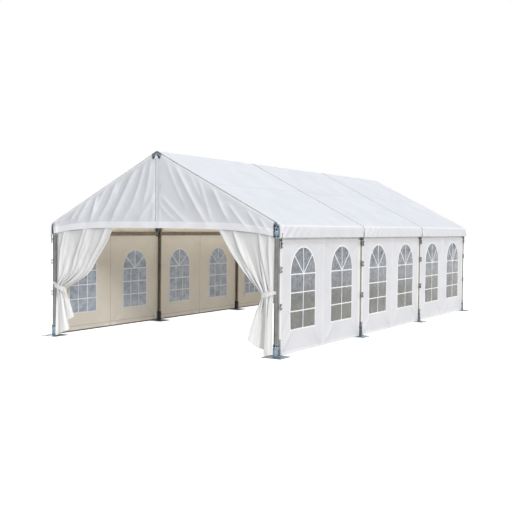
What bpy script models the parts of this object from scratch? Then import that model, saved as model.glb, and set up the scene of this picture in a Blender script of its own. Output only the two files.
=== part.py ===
"""Marquee tent of three bays: aluminium portal frames under white coated fabric.

X runs across the span, Y along the length with the open front at -Y, and Z up from the ground.
The origin is on the ground, at the middle of the plan. Frames and bays are numbered from the front.
"""

import math

import bmesh
import bpy

# Driving sizes of the tent, in metres
SPAN = 6.0
BAY = 4.0
BAYS = 3
RIDGE_HEIGHT = 4.21
ROOF_PITCH = math.radians(27.0)
WALL_HEAD = 2.345
EAVE_REACH = 3.11
DROP_BOTTOM = 2.385

# Every seat between two pieces
GAP = 0.0003

# Aluminium profile of posts and rafters
PROFILE_DEPTH = 0.10
PROFILE_WIDTH = 0.05
GROOVE_WIDTH = 0.008
GROOVE_DEPTH = 0.008
GROOVE_INSET = 0.018
FABRIC = 0.004

# Foot: a socket on a base plate
PLATE_SIDE = 0.46
PLATE_THICKNESS = 0.010
SOCKET_TOP = 0.26
SOCKET_WALL = 0.005

# Eave bracket, bent eave rail and ridge cap
BRACKET_WIDTH = 0.056
BRACKET_IN = 0.07
BRACKET_OUT = 0.065
BRACKET_BOTTOM = 2.375
HAUNCH_BOTTOM = 2.49
HAUNCH_REACH = 0.22
HAUNCH_NOSE = 0.02
RAIL_THICKNESS = 0.012
RAIL_RADIUS = 0.11
RAIL_LUG_HEIGHT = 0.03
RAIL_SEAT = 0.002
CAP_REACH = 0.125
CAP_DROP = 0.066
CAP_PROUD = 0.008
CAP_RISE = 0.004

# Purlins
PURLIN_HEIGHT = 0.10
PURLIN_WIDTH = 0.05
EAVE_PURLIN_OUT = 0.04
RIDGE_PURLIN_HEIGHT = 0.09

# Side wall sheets and their windows
WALL_BOTTOM = 0.02
FILM_THICKNESS = 0.002
FILM_MARGIN = 0.05
RIGHT_WINDOW_WIDTH = 1.12
RIGHT_WINDOW_SILL = 0.49
RIGHT_WINDOW_SPRING = 1.63
RIGHT_WINDOW_SPACING = 1.88
LEFT_WINDOW_WIDTH = 0.98
LEFT_WINDOW_SILL = 0.46
LEFT_WINDOW_SPRING = 1.48
LEFT_WINDOW_SPACING = 2.0

# Gable sheets, with a hem that rises in an arch
HEM_CROWN = 2.55
HEM_RISE = 0.14
GABLE_DROP = 0.034

# Curtains, tied back at the front and closed at the rear: how far from the middle of the span each
# front one reaches at its head, at its strap and at its foot, and how far its free corner is lifted
CURTAINS = {
    "left": {"head_inner": 1.27, "tie_inner": 2.60, "foot_inner": 2.37, "tie_top": 1.20, "foot_rise": 0.46},
    "right": {"head_inner": 1.62, "tie_inner": 2.66, "foot_inner": 2.34, "tie_top": 1.29, "foot_rise": 0.27},
}
CURTAIN_LAP = 0.045
CURTAIN_CLEARANCE = 0.005
CURTAIN_BOTTOM = 0.03
CURTAIN_BOW = 0.10
HEAD_HALF_DEPTH = 0.013
TIE_HALF_DEPTH = 0.055
FOOT_HALF_DEPTH = 0.045
BUNDLE_SETBACK = 0.0005
BUNDLE_POINTS = 28
BUNDLE_FLATNESS = 0.6
# Rows of a curtain's solid, as shares of the way from hem to strap and from strap to head
SKIRT_ROWS = (0.0, 0.35, 0.7, 1.0)
SKIRT_STRAIGHT = 0.25
HEAD_ROWS = (0.0, 0.12, 0.3, 0.5, 0.75, 1.0)
HEAD_THIN_FROM = 0.625
TIE_HEIGHT = 0.10
TIE_BAND = 0.004
TIE_SLACK = 0.0008
TIE_EDGE = 0.004
TIE_END = 0.01
END_WALL_THICKNESS = 0.006

# Values that follow from the driving sizes
HALF_SPAN = SPAN / 2
LENGTH = BAY * BAYS
SLOPE = math.tan(ROOF_PITCH)
POST_OUT = HALF_SPAN + PROFILE_DEPTH / 2
POST_IN = HALF_SPAN - PROFILE_DEPTH / 2
BRACKET_INNER = HALF_SPAN - BRACKET_IN
CURTAIN_EDGE = BRACKET_INNER - CURTAIN_CLEARANCE
FACE = PROFILE_WIDTH / 2
FRAMES_Y = [BAY * i - LENGTH / 2 for i in range(BAYS + 1)]
SIDES = {"left": -1, "right": 1}


def roof_z(x, below=0.0):
    """Height of the roof's top line at x, or of a line that lies below it, square to the slope."""
    return RIDGE_HEIGHT - abs(x) * SLOPE - below / math.cos(ROOF_PITCH)


def hem_z(x):
    """Height of the gable's hem, level in the middle and dipping towards the posts."""
    return HEM_CROWN - HEM_RISE * (abs(x) / BRACKET_INNER) ** 4


def material(name, colour, roughness, metallic=0.0, alpha=1.0):
    made = bpy.data.materials.new(name)
    made.use_nodes = True
    made.diffuse_color = (*colour, alpha)
    shader = made.node_tree.nodes["Principled BSDF"]
    shader.inputs["Base Color"].default_value = (*colour, 1.0)
    shader.inputs["Roughness"].default_value = roughness
    shader.inputs["Metallic"].default_value = metallic
    shader.inputs["Alpha"].default_value = alpha
    return made


def add_object(name, points, faces, finish):
    """A named mesh object with all its faces pointing outwards."""
    mesh = bpy.data.meshes.new(name)
    mesh.from_pydata(points, [], faces)
    shape = bmesh.new()
    shape.from_mesh(mesh)
    bmesh.ops.recalc_face_normals(shape, faces=shape.faces)
    shape.to_mesh(mesh)
    shape.free()
    made = bpy.data.objects.new(name, mesh)
    bpy.context.scene.collection.objects.link(made)
    if finish:
        mesh.materials.append(finish)
    return made


def loft(name, loops, finish):
    """A closed body through a row of loops that have as many points as each other."""
    count = len(loops[0])
    points = [point for loop in loops for point in loop]
    faces = [list(range(count)), list(range(len(points) - count, len(points)))]
    for row in range(len(loops) - 1):
        for i in range(count):
            j = (i + 1) % count
            low, high = row * count, (row + 1) * count
            faces.append([low + i, low + j, high + j, high + i])
    return add_object(name, points, faces, finish)


def slab_xz(name, outline, front, back, finish):
    """An outline in X and Z, given its thickness along Y."""
    return loft(name, [[(x, y, z) for x, z in outline] for y in (front, back)], finish)


def slab_yz(name, outline, inner, outer, finish):
    """An outline in Y and Z, given its thickness along X."""
    return loft(name, [[(x, y, z) for y, z in outline] for x in (inner, outer)], finish)


def slab_xy(name, outline, bottom, top, finish):
    """An outline in X and Y, given its height along Z."""
    return loft(name, [[(x, y, z) for x, y in outline] for z in (bottom, top)], finish)


def boolean(target, tool, operation):
    step = target.modifiers.new(operation.lower() + "_" + tool.name, "BOOLEAN")
    step.operation = operation
    step.object = tool
    tool.hide_render = True
    tool.display_type = "WIRE"


def mirrored(outline):
    """A right-hand half outline, from the ridge round to the ridge again, with its left half."""
    return outline + [(-x, z) for x, z in reversed(outline) if x > 0]


def profile_outline():
    """The extrusion in section: (depth from the outer face, sideways), with two grooves a side."""
    near, far = GROOVE_INSET, PROFILE_DEPTH - GROOVE_INSET - GROOVE_WIDTH
    side = [(0.0, FACE)]
    for start in (near, far):
        side += [(start, FACE), (start, FACE - GROOVE_DEPTH)]
        side += [(start + GROOVE_WIDTH, FACE - GROOVE_DEPTH), (start + GROOVE_WIDTH, FACE)]
    side.append((PROFILE_DEPTH, FACE))
    return side + [(depth, -across) for depth, across in reversed(side)]


def rectangle(half_x, half_y, centre=(0.0, 0.0)):
    x, y = centre
    corners = ((-1, -1), (1, -1), (1, 1), (-1, 1))
    return [(x + across * half_x, y + along * half_y) for across, along in corners]


def bent_line(below):
    """The roof's outer line from the ridge round the eave to the foot of the drop, offset inwards."""
    radius = RAIL_RADIUS - below
    centre_x = EAVE_REACH - RAIL_RADIUS
    centre_z = roof_z(centre_x, RAIL_RADIUS)
    line = [(0.0, roof_z(0.0, below))]
    steps = 6
    for i in range(steps + 1):
        angle = (math.pi / 2 - ROOF_PITCH) * (1 - i / steps)
        line.append((centre_x + radius * math.cos(angle), centre_z + radius * math.sin(angle)))
    line.append((EAVE_REACH - below, DROP_BOTTOM))
    return line


def add_posts_and_feet(aluminium, galvanised):
    for side, sign in SIDES.items():
        for number, y in enumerate(FRAMES_Y, 1):
            section = [(sign * (POST_OUT - depth), y + across) for depth, across in profile_outline()]
            bottom, top = PLATE_THICKNESS + GAP, BRACKET_BOTTOM - GAP
            slab_xy(f"post_{side}_{number}", section, bottom, top, aluminium)
            centre = (sign * HALF_SPAN, y)
            plate = rectangle(PLATE_SIDE / 2, PLATE_SIDE / 2, centre)
            inner = rectangle(PROFILE_DEPTH / 2 + GAP, FACE + GAP, centre)
            outer = rectangle(PROFILE_DEPTH / 2 + SOCKET_WALL, FACE + SOCKET_WALL, centre)
            levels = [(plate, 0.0), (plate, PLATE_THICKNESS), (outer, PLATE_THICKNESS), (outer, SOCKET_TOP)]
            levels += [(inner, SOCKET_TOP), (inner, PLATE_THICKNESS)]
            loops = [[(px, py, z) for px, py in loop] for loop, z in levels]
            loft(f"foot_{side}_{number}", loops, galvanised)


def add_portals(aluminium):
    """Each frame: the mitred pair of rafters, joined to its ridge cap, eave brackets and bent rails."""
    rail_top = [point for point in bent_line(0.0) if point[0] > POST_IN]
    rail_under = [point for point in bent_line(RAIL_THICKNESS) if point[0] > POST_IN]
    rail = [(BRACKET_INNER, roof_z(BRACKET_INNER))] + rail_top + rail_under[::-1]
    rail.append((BRACKET_INNER, roof_z(BRACKET_INNER, RAIL_THICKNESS)))
    bracket_out = HALF_SPAN + BRACKET_OUT
    bracket = [
        (BRACKET_INNER, BRACKET_BOTTOM),
        (bracket_out, BRACKET_BOTTOM),
        (bracket_out, roof_z(bracket_out, RAIL_THICKNESS - RAIL_SEAT)),
        (BRACKET_INNER, roof_z(BRACKET_INNER, RAIL_THICKNESS - RAIL_SEAT)),
    ]
    haunch_end = BRACKET_INNER - HAUNCH_REACH
    haunch = [
        (HALF_SPAN, HAUNCH_BOTTOM),
        (HALF_SPAN, roof_z(HALF_SPAN, PROFILE_DEPTH / 2)),
        (haunch_end, roof_z(haunch_end, PROFILE_DEPTH - HAUNCH_NOSE / 2)),
        (haunch_end + HAUNCH_NOSE, roof_z(haunch_end, PROFILE_DEPTH) - HAUNCH_NOSE),
        (BRACKET_INNER, HAUNCH_BOTTOM),
    ]
    lug = [
        (HALF_SPAN, DROP_BOTTOM),
        (EAVE_REACH - RAIL_THICKNESS / 2, DROP_BOTTOM),
        (EAVE_REACH - RAIL_THICKNESS / 2, DROP_BOTTOM + RAIL_LUG_HEIGHT),
        (HALF_SPAN, DROP_BOTTOM + RAIL_LUG_HEIGHT),
    ]
    cap_top = RIDGE_HEIGHT + CAP_RISE
    cap = mirrored(
        [
            (0.0, cap_top),
            (CAP_REACH, cap_top - CAP_REACH * SLOPE),
            (CAP_REACH, cap_top - CAP_REACH * SLOPE - CAP_DROP),
            (0.0, cap_top - CAP_DROP),
        ]
    )
    for number, y in enumerate(FRAMES_Y, 1):
        stations = []
        for x in (-HALF_SPAN, 0.0, HALF_SPAN):
            stations.append([(x, y + across, roof_z(x, depth)) for depth, across in profile_outline()])
        portal = loft(f"portal_{number}", stations, aluminium)
        cap_front = y - FACE - CAP_PROUD if number == 1 else y - FACE + GAP
        cap_back = y + FACE + CAP_PROUD if number == len(FRAMES_Y) else y + FACE - GAP
        tools = [slab_xz(f"cap_{number}", cap, cap_front, cap_back, None)]
        for side, sign in SIDES.items():
            for kind, outline, width in (
                ("bracket", bracket, BRACKET_WIDTH),
                ("haunch", haunch, PROFILE_WIDTH - 2 * GAP),
                ("rail", rail, PROFILE_WIDTH),
                ("lug", lug, PROFILE_WIDTH - 4 * GAP),
            ):
                turned = [(sign * x, z) for x, z in outline]
                tools.append(slab_xz(f"{kind}_{side}_{number}", turned, y - width / 2, y + width / 2, None))
        for tool in tools:
            boolean(portal, tool, "UNION")


def bays(clearance):
    """Each bay's number, start and end, clear of the frames by the given half width and the seat."""
    for number in range(1, BAYS + 1):
        start = FRAMES_Y[number - 1] + clearance + GAP
        end = FRAMES_Y[number] - clearance - GAP
        yield number, start, end


def add_purlins(aluminium):
    for number, start, end in bays(BRACKET_WIDTH / 2):
        for side, sign in SIDES.items():
            centre = sign * (HALF_SPAN + EAVE_PURLIN_OUT - PURLIN_WIDTH / 2)
            outline = rectangle(PURLIN_WIDTH / 2, PURLIN_HEIGHT / 2, (centre, WALL_HEAD + PURLIN_HEIGHT / 2))
            slab_xz(f"eave_purlin_{side}_{number}", outline, start, end, aluminium)
    top = roof_z(PURLIN_WIDTH / 2, FABRIC) - GAP
    for number, start, end in bays(FACE):
        outline = rectangle(PURLIN_WIDTH / 2, RIDGE_PURLIN_HEIGHT / 2, (0.0, top - RIDGE_PURLIN_HEIGHT / 2))
        slab_xz(f"ridge_purlin_{number}", outline, start, end, aluminium)


def add_roof_covers(fabric):
    """One cover a bay, from drop to drop, its edges seated against the frames' side faces."""
    outer = bent_line(0.0)
    inner = bent_line(FABRIC)
    outline = mirrored(outer + inner[::-1])
    for number, start, end in bays(FACE):
        slab_xz(f"roof_cover_{number}", outline, start, end, fabric)


def window_outline(centre, width, sill, spring):
    """A window with a half-round head, as an outline in Y and Z."""
    radius = width / 2
    outline = [(centre - radius, sill), (centre + radius, sill)]
    steps = 16
    for i in range(steps + 1):
        angle = math.pi * i / steps
        outline.append((centre + radius * math.cos(angle), spring + radius * math.sin(angle)))
    return outline


def add_side_walls(fabric, film):
    outer_face = POST_OUT - GROOVE_INSET - (GROOVE_WIDTH - FABRIC) / 2
    inner_face = outer_face - FABRIC
    windows = {
        "left": (LEFT_WINDOW_WIDTH, LEFT_WINDOW_SILL, LEFT_WINDOW_SPRING, LEFT_WINDOW_SPACING),
        "right": (RIGHT_WINDOW_WIDTH, RIGHT_WINDOW_SILL, RIGHT_WINDOW_SPRING, RIGHT_WINDOW_SPACING),
    }
    for side, sign in SIDES.items():
        width, sill, spring, spacing = windows[side]
        for number, y in enumerate(FRAMES_Y[:-1], 1):
            start = y + FACE - GROOVE_DEPTH + GAP
            end = y + BAY - FACE + GROOVE_DEPTH - GAP
            notch = FACE + SOCKET_WALL + GAP
            notch_top = SOCKET_TOP + GAP
            head = WALL_HEAD - GAP
            outline = [(y + notch, WALL_BOTTOM), (y + BAY - notch, WALL_BOTTOM), (y + BAY - notch, notch_top)]
            outline += [(end, notch_top), (end, head), (start, head), (start, notch_top)]
            outline.append((y + notch, notch_top))
            wall = slab_yz(f"wall_{side}_{number}", outline, sign * inner_face, sign * outer_face, fabric)
            centres = [y + (BAY - spacing) / 2, y + (BAY + spacing) / 2]
            for place, centre in zip("ab", centres):
                cut = window_outline(centre, width, sill, spring)
                name = f"opening_{side}_{number}{place}"
                tool = slab_yz(name, cut, sign * (inner_face - FABRIC), sign * (outer_face + FABRIC), None)
                boolean(wall, tool, "DIFFERENCE")
            reach = width / 2 + FILM_MARGIN
            low, high = sill - FILM_MARGIN, spring + width / 2 + FILM_MARGIN
            sheet = [(centres[0] - reach, low), (centres[1] + reach, low)]
            sheet += [(centres[1] + reach, high), (centres[0] - reach, high)]
            film_outer = sign * (inner_face - GAP)
            film_inner = sign * (inner_face - GAP - FILM_THICKNESS)
            slab_yz(f"window_film_{side}_{number}", sheet, film_inner, film_outer, film)


def add_gables(fabric):
    """Triangular sheets over the end frames, notched round the ridge cap and hemmed in an arch."""
    edge = BRACKET_INNER - GAP
    cap_foot = RIDGE_HEIGHT + CAP_RISE - CAP_DROP - GAP
    half = [
        (0.0, cap_foot),
        (CAP_REACH + GAP, cap_foot - (CAP_REACH + GAP) * SLOPE),
        (CAP_REACH + GAP, roof_z(CAP_REACH + GAP) - GABLE_DROP),
        (edge, roof_z(edge) - GABLE_DROP),
    ]
    steps = 12
    half += [(edge * (1 - i / steps), hem_z(edge * (1 - i / steps))) for i in range(steps + 1)]
    for name, y, outward in (("gable_front", FRAMES_Y[0], -1), ("gable_rear", FRAMES_Y[-1], 1)):
        near = y + outward * (FACE + GAP)
        far = near + outward * FABRIC
        slab_xz(name, mirrored(half), near, far, fabric)


def bundle(inner_edge, half_depth, grown=0.0):
    """A flattened round section in plan, from the inner edge to the post, set back from the gable sheet."""
    centre_x = (CURTAIN_EDGE + inner_edge) / 2
    half_width = (CURTAIN_EDGE - inner_edge) / 2 + grown
    centre_y = FRAMES_Y[0] - FACE + half_depth + BUNDLE_SETBACK
    section = []
    for i in range(BUNDLE_POINTS):
        turn = 2 * math.pi * i / BUNDLE_POINTS
        flat = math.copysign(abs(math.sin(turn)) ** BUNDLE_FLATNESS, math.sin(turn))
        section.append((centre_x + half_width * math.cos(turn), centre_y + (half_depth + grown) * flat))
    return section


def add_front_curtain(side, fabric):
    """A curtain from its hem, through the bundle at its strap, to its head behind the gable's hem."""
    sign, shape = SIDES[side], CURTAINS[side]
    tie_top, tie_inner = shape["tie_top"], shape["tie_inner"]
    tie_bottom = tie_top - TIE_HEIGHT
    loops = []
    for share in SKIRT_ROWS:
        inner = shape["foot_inner"] + (tie_inner - shape["foot_inner"]) * share
        loop = []
        for x, y in bundle(inner, FOOT_HALF_DEPTH + (TIE_HALF_DEPTH - FOOT_HALF_DEPTH) * share):
            across = (CURTAIN_EDGE - x) / (CURTAIN_EDGE - inner)
            away = max(0.0, across - SKIRT_STRAIGHT) / (1 - SKIRT_STRAIGHT)
            lift = shape["foot_rise"] * (1 - share) * away
            loop.append((sign * x, y, CURTAIN_BOTTOM + (tie_bottom - CURTAIN_BOTTOM) * share + lift))
        loops.append(loop)
    for share in HEAD_ROWS:
        bow = CURTAIN_BOW * 4 * share * (1 - share)
        inner = tie_inner + (shape["head_inner"] - tie_inner) * share - bow
        thinned = min(1.0, share / HEAD_THIN_FROM)
        half_depth = TIE_HALF_DEPTH + (HEAD_HALF_DEPTH - TIE_HALF_DEPTH) * thinned
        loop = []
        for x, y in bundle(inner, half_depth):
            head = hem_z(x) + CURTAIN_LAP
            loop.append((sign * x, y, tie_top + (head - tie_top) * share))
        loops.append(loop)
    loft(f"curtain_front_{side}", loops, fabric)


def add_tie(side, fabric):
    """A flat strap round the bundle, with its end carried on across the front of the corner post."""
    sign, shape = SIDES[side], CURTAINS[side]
    bottom, top = shape["tie_top"] - TIE_HEIGHT + TIE_EDGE, shape["tie_top"] - TIE_EDGE
    inner = bundle(shape["tie_inner"], TIE_HALF_DEPTH, TIE_SLACK)
    outer = bundle(shape["tie_inner"], TIE_HALF_DEPTH, TIE_SLACK + TIE_BAND)
    post_face = FRAMES_Y[0] - FACE - GAP
    middle = (CURTAIN_EDGE + shape["tie_inner"]) / 2
    end = HALF_SPAN + TIE_END
    tab = [(middle, post_face - TIE_BAND), (end, post_face - TIE_BAND), (end, post_face), (middle, post_face)]
    turned = [[(sign * x, y) for x, y in outline] for outline in (outer, inner, tab)]
    strap = slab_xy(f"tie_front_{side}", turned[0], bottom, top, fabric)
    hollow = slab_xy(f"tie_hollow_{side}", turned[1], bottom - TIE_EDGE, top + TIE_EDGE, None)
    boolean(strap, hollow, "DIFFERENCE")
    boolean(strap, slab_xy(f"tie_tab_{side}", turned[2], bottom, top, None), "UNION")


def add_end_wall(fabric):
    """The rear pair of curtains, drawn closed to the middle of the span."""
    outer = FRAMES_Y[-1] + FACE
    socket_edge = HALF_SPAN - PROFILE_DEPTH / 2 - SOCKET_WALL - GAP
    post_edge = POST_IN - GAP
    top_edge = BRACKET_INNER - GAP
    steps = 8
    half = [(GAP / 2, CURTAIN_BOTTOM), (socket_edge, CURTAIN_BOTTOM), (socket_edge, SOCKET_TOP + GAP)]
    half += [(post_edge, SOCKET_TOP + GAP), (post_edge, BRACKET_BOTTOM - GAP)]
    half.append((top_edge, BRACKET_BOTTOM - GAP))
    for i in range(steps + 1):
        x = top_edge + (GAP / 2 - top_edge) * i / steps
        half.append((x, hem_z(x) + CURTAIN_LAP))
    for side, sign in SIDES.items():
        outline = [(sign * x, z) for x, z in half]
        slab_xz(f"end_wall_{side}", outline, outer - END_WALL_THICKNESS, outer, fabric)


def build():
    for old in list(bpy.data.objects):
        bpy.data.objects.remove(old, do_unlink=True)
    aluminium = material("aluminium", (0.42, 0.43, 0.43), 0.38, metallic=0.9)
    galvanised = material("galvanised_steel", (0.33, 0.39, 0.44), 0.45, metallic=0.8)
    roof_fabric = material("roof_fabric", (0.82, 0.84, 0.87), 0.5)
    wall_fabric = material("wall_fabric", (0.80, 0.80, 0.81), 0.5)
    curtain_fabric = material("curtain_fabric", (0.84, 0.83, 0.81), 0.6)
    film = material("clear_film", (0.45, 0.50, 0.55), 0.15, alpha=0.45)
    add_posts_and_feet(aluminium, galvanised)
    add_portals(aluminium)
    add_purlins(aluminium)
    add_roof_covers(roof_fabric)
    add_side_walls(wall_fabric, film)
    add_gables(roof_fabric)
    for side in SIDES:
        add_front_curtain(side, curtain_fabric)
        add_tie(side, curtain_fabric)
    add_end_wall(curtain_fabric)


build()
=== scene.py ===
"""Looks of the three-bay marquee tent: metal finishes, fittings, and each sheet with its folds and seams."""

import math

import bpy
import numpy as np
from mathutils import Matrix, Vector


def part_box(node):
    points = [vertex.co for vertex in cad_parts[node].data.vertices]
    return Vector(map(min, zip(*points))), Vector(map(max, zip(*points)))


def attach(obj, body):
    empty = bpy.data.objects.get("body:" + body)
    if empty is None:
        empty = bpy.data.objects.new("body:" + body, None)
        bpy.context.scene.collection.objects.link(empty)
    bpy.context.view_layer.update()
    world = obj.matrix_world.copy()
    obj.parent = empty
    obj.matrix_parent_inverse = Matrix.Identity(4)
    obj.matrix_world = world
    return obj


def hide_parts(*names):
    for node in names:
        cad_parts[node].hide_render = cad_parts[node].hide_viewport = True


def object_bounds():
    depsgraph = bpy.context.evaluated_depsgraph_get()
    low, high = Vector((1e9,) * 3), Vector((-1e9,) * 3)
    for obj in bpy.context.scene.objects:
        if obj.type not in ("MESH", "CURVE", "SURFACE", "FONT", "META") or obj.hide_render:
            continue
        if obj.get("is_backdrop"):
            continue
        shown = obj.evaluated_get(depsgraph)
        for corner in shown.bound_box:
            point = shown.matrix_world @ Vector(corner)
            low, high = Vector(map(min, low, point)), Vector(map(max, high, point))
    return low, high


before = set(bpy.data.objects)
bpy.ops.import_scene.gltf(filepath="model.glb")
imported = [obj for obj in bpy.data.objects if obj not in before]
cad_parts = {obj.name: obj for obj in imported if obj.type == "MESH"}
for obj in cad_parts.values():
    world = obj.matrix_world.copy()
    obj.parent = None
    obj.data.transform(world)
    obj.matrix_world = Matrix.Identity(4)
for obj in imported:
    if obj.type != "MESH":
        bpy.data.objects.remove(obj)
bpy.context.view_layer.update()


# Posts, rafters and purlins: mill-finish aluminium extrusions with two fabric grooves a side, cut square.
# Each frame's rafters are mitred under the ridge cap and bolted to the posts in steel eave brackets.
# The metal is dull and slightly streaked along its length, as it comes from the press. Faces inside the tent
# are darkened brown: painted shade.

SIDES = {"left": -1, "right": 1}
FRAMES_Y = [(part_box(f"post_right_{n}")[0].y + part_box(f"post_right_{n}")[1].y) / 2 for n in range(1, 5)]
POST_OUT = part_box("post_right_1")[1].x
POST_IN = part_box("post_right_1")[0].x
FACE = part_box("post_right_1")[1].y - FRAMES_Y[0]
PURLIN_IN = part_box("eave_purlin_right_1")[0].x
DIE_DARK = (0.380, 0.388, 0.385)
DIE_LIGHT = (0.520, 0.527, 0.520)
# Painted shade: the brown that darkens the faces inside the tent
INSIDE_SHADE = (0.56, 0.49, 0.39)
CLEAN = (1.0, 1.0, 1.0)


def new_finish(name, metallic=0.0):
    """A material, its shader and its Object coordinates, which are metres in the tent's frame."""
    finish = bpy.data.materials.new(name)
    finish.use_nodes = True
    shader = finish.node_tree.nodes["Principled BSDF"]
    shader.inputs["Metallic"].default_value = metallic
    return finish, shader, finish.node_tree.nodes.new("ShaderNodeTexCoord").outputs["Object"]


def feed(source, node, socket):
    node.id_data.links.new(source, node.inputs[socket])


def node_after(source, kind, socket="Vector"):
    """A new node of the source's material, fed by the source."""
    made = source.id_data.nodes.new(kind)
    feed(source, made, socket)
    return made


def stretched(where, scale):
    mapping = node_after(where, "ShaderNodeMapping")
    mapping.inputs["Scale"].default_value = scale
    return mapping.outputs["Vector"]


def noise(where, scale, detail=3.0):
    cloud = node_after(where, "ShaderNodeTexNoise")
    cloud.inputs["Scale"].default_value = scale
    cloud.inputs["Detail"].default_value = detail
    return cloud.outputs["Fac"]


def ramp(factor, *stops):
    """Colours from a factor. Each stop is a position and a colour, or a position and one grey value."""
    made = node_after(factor, "ShaderNodeValToRGB", "Fac")
    band = made.color_ramp
    while len(band.elements) < len(stops):
        band.elements.new(1.0)
    for element, (position, colour) in zip(band.elements, stops):
        element.position = position
        element.color = (*colour, 1.0) if isinstance(colour, tuple) else (colour, colour, colour, 1.0)
    return made.outputs["Color"]


def blend(factor, low, high, kind="MIX"):
    """Mixes two colours. Each of the three is a socket or a value, and one is a socket."""
    given = [value for value in (factor, low, high) if isinstance(value, bpy.types.NodeSocket)]
    made = given[0].id_data.nodes.new("ShaderNodeMix")
    made.data_type = "RGBA"
    made.blend_type = kind
    for socket, value in ((0, factor), (6, low), (7, high)):
        if isinstance(value, bpy.types.NodeSocket):
            feed(value, made, socket)
        else:
            made.inputs[socket].default_value = (*value, 1.0) if isinstance(value, tuple) else value
    return made.outputs[2]


def relief(shader, height, distance, strength=0.5):
    """Small relief from a height pattern, on top of any relief that the shader has."""
    made = node_after(height, "ShaderNodeBump", "Height")
    made.inputs["Distance"].default_value = distance
    made.inputs["Strength"].default_value = strength
    if shader.inputs["Normal"].is_linked:
        feed(shader.inputs["Normal"].links[0].from_socket, made, "Normal")
    feed(made.outputs["Normal"], shader, "Normal")


def further_out(where, axis, reach):
    """One where a place lies further from the tent's middle than reach, and nothing nearer in."""
    axes = node_after(where, "ShaderNodeSeparateXYZ")
    outward = node_after(axes.outputs[axis], "ShaderNodeMath", 0)
    outward.operation = "ABSOLUTE"
    further = node_after(outward.outputs[0], "ShaderNodeMath", 0)
    further.operation = "GREATER_THAN"
    further.inputs[1].default_value = reach
    return further.outputs[0]


def aluminium_finish(name, along, tone, axis=None, shade_nearer_than=0.0):
    """Extruded aluminium with die lines along X, Y or Z, and painted shade: a brown darkening of all that
    lies nearer the middle on an axis than a given reach.
    """
    finish, shader, where = new_finish(name, metallic=0.85)
    shader.inputs["Roughness"].default_value = 0.42
    fine = [160.0, 160.0, 160.0]
    fine["XYZ".index(along)] = 1.5
    streaks = noise(stretched(where, fine), 1.0)
    low, high = (tuple(grey * tone for grey in colour) for colour in (DIE_DARK, DIE_LIGHT))
    dull = ramp(noise(where, 5.0), (0.35, 0.80), (0.7, 1.0))
    wear_and_shade = blend(1.0, ramp(streaks, (0.3, low), (0.7, high)), dull, "MULTIPLY")
    if axis:
        # Painted shade: all that lies nearer the tent's middle on the axis is darkened brown
        wear_and_shade = blend(1.0, wear_and_shade, blend(further_out(where, axis, shade_nearer_than), INSIDE_SHADE, CLEAN), "MULTIPLY")
    feed(wear_and_shade, shader, "Base Color")
    relief(shader, streaks, 0.0004)
    return finish


def dress(names, finish):
    """Gives a frame's own solids a finish, in the slots that they have."""
    for name in names:
        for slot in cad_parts[name].material_slots:
            slot.material = finish


# The same extrusion is made lighter on the rafters and purlins and darker on the posts, for how each is lit:
# painted light and shade
post_metal = aluminium_finish("extruded_aluminium_posts", "Z", 0.64)
# Painted shade on the inner posts' inner halves, the inner frames' rafters and the purlins' inner faces
inner_post_metal = aluminium_finish("extruded_aluminium_inner_posts", "Z", 0.72, "X", POST_OUT - 0.030)
rafter_metal = aluminium_finish("extruded_aluminium_rafters", "X", 1.35, "Y", 5.9)
purlin_metal = aluminium_finish("extruded_aluminium_purlins", "Y", 1.1, "X", PURLIN_IN + 0.010)
for side in SIDES:
    dress([f"post_{side}_1", f"post_{side}_4"], post_metal)
    dress([f"post_{side}_2", f"post_{side}_3"], inner_post_metal)
    dress([f"eave_purlin_{side}_{n}" for n in range(1, 4)], purlin_metal)
dress([f"ridge_purlin_{n}" for n in range(1, 4)], purlin_metal)
dress([f"portal_{n}" for n in range(1, 5)], rafter_metal)


# Feet: a square steel base plate with a socket welded on, hot-dip galvanised after welding.
# The post stands in the socket and is held by bolts near its top, on the faces that show.
# A weld bead runs round the socket's foot, and the zinc shows its crystals. The inner frames' feet are
# darkened where they face into the tent: painted shade.

PLATE_TOP = 0.010
POST_MIDDLE = (POST_OUT + POST_IN) / 2
SOCKET_HALF_X = 0.055
SOCKET_HALF_Y = 0.030
SOCKET_BOLT_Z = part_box("foot_right_1")[1].z - 0.030
WELD_RADIUS = 0.007
WASHER_HEIGHT = 0.003
SHARP_ANGLE = math.radians(40)
ZINC = ((0.27, 0.36, 0.43), (0.44, 0.55, 0.63))
# Painted shade: the dark on the inner frames' feet where they face into the tent
FOOT_SHADE = (0.22, 0.20, 0.18)


def zinc_finish(name, low, high, inside_shade_within=0.0):
    """Hot-dip zinc with its crystals and grime, and painted shade where it faces into the tent, nearer the
    middle than a given reach.
    """
    finish, shader, where = new_finish(name, metallic=0.75)
    crystals = node_after(where, "ShaderNodeTexVoronoi")
    crystals.inputs["Scale"].default_value = 55.0
    zinc = ramp(crystals.outputs["Color"], (0.2, low), (0.8, high))
    wear_and_shade = blend(1.0, zinc, ramp(noise(where, 9.0, 5.0), (0.38, 0.45), (0.60, 1.0)), "MULTIPLY")
    if inside_shade_within:
        # Painted shade: the faces nearer the tent's middle are darkened
        wear_and_shade = blend(1.0, wear_and_shade, blend(further_out(where, "X", inside_shade_within), FOOT_SHADE, CLEAN), "MULTIPLY")
    feed(wear_and_shade, shader, "Base Color")
    feed(ramp(noise(where, 30.0), (0.3, 0.22), (0.7, 0.42)), shader, "Roughness")
    relief(shader, noise(where, 120.0), 0.0006, 0.4)
    return finish


galvanised = zinc_finish("galvanised_steel_worn", *ZINC)
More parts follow.
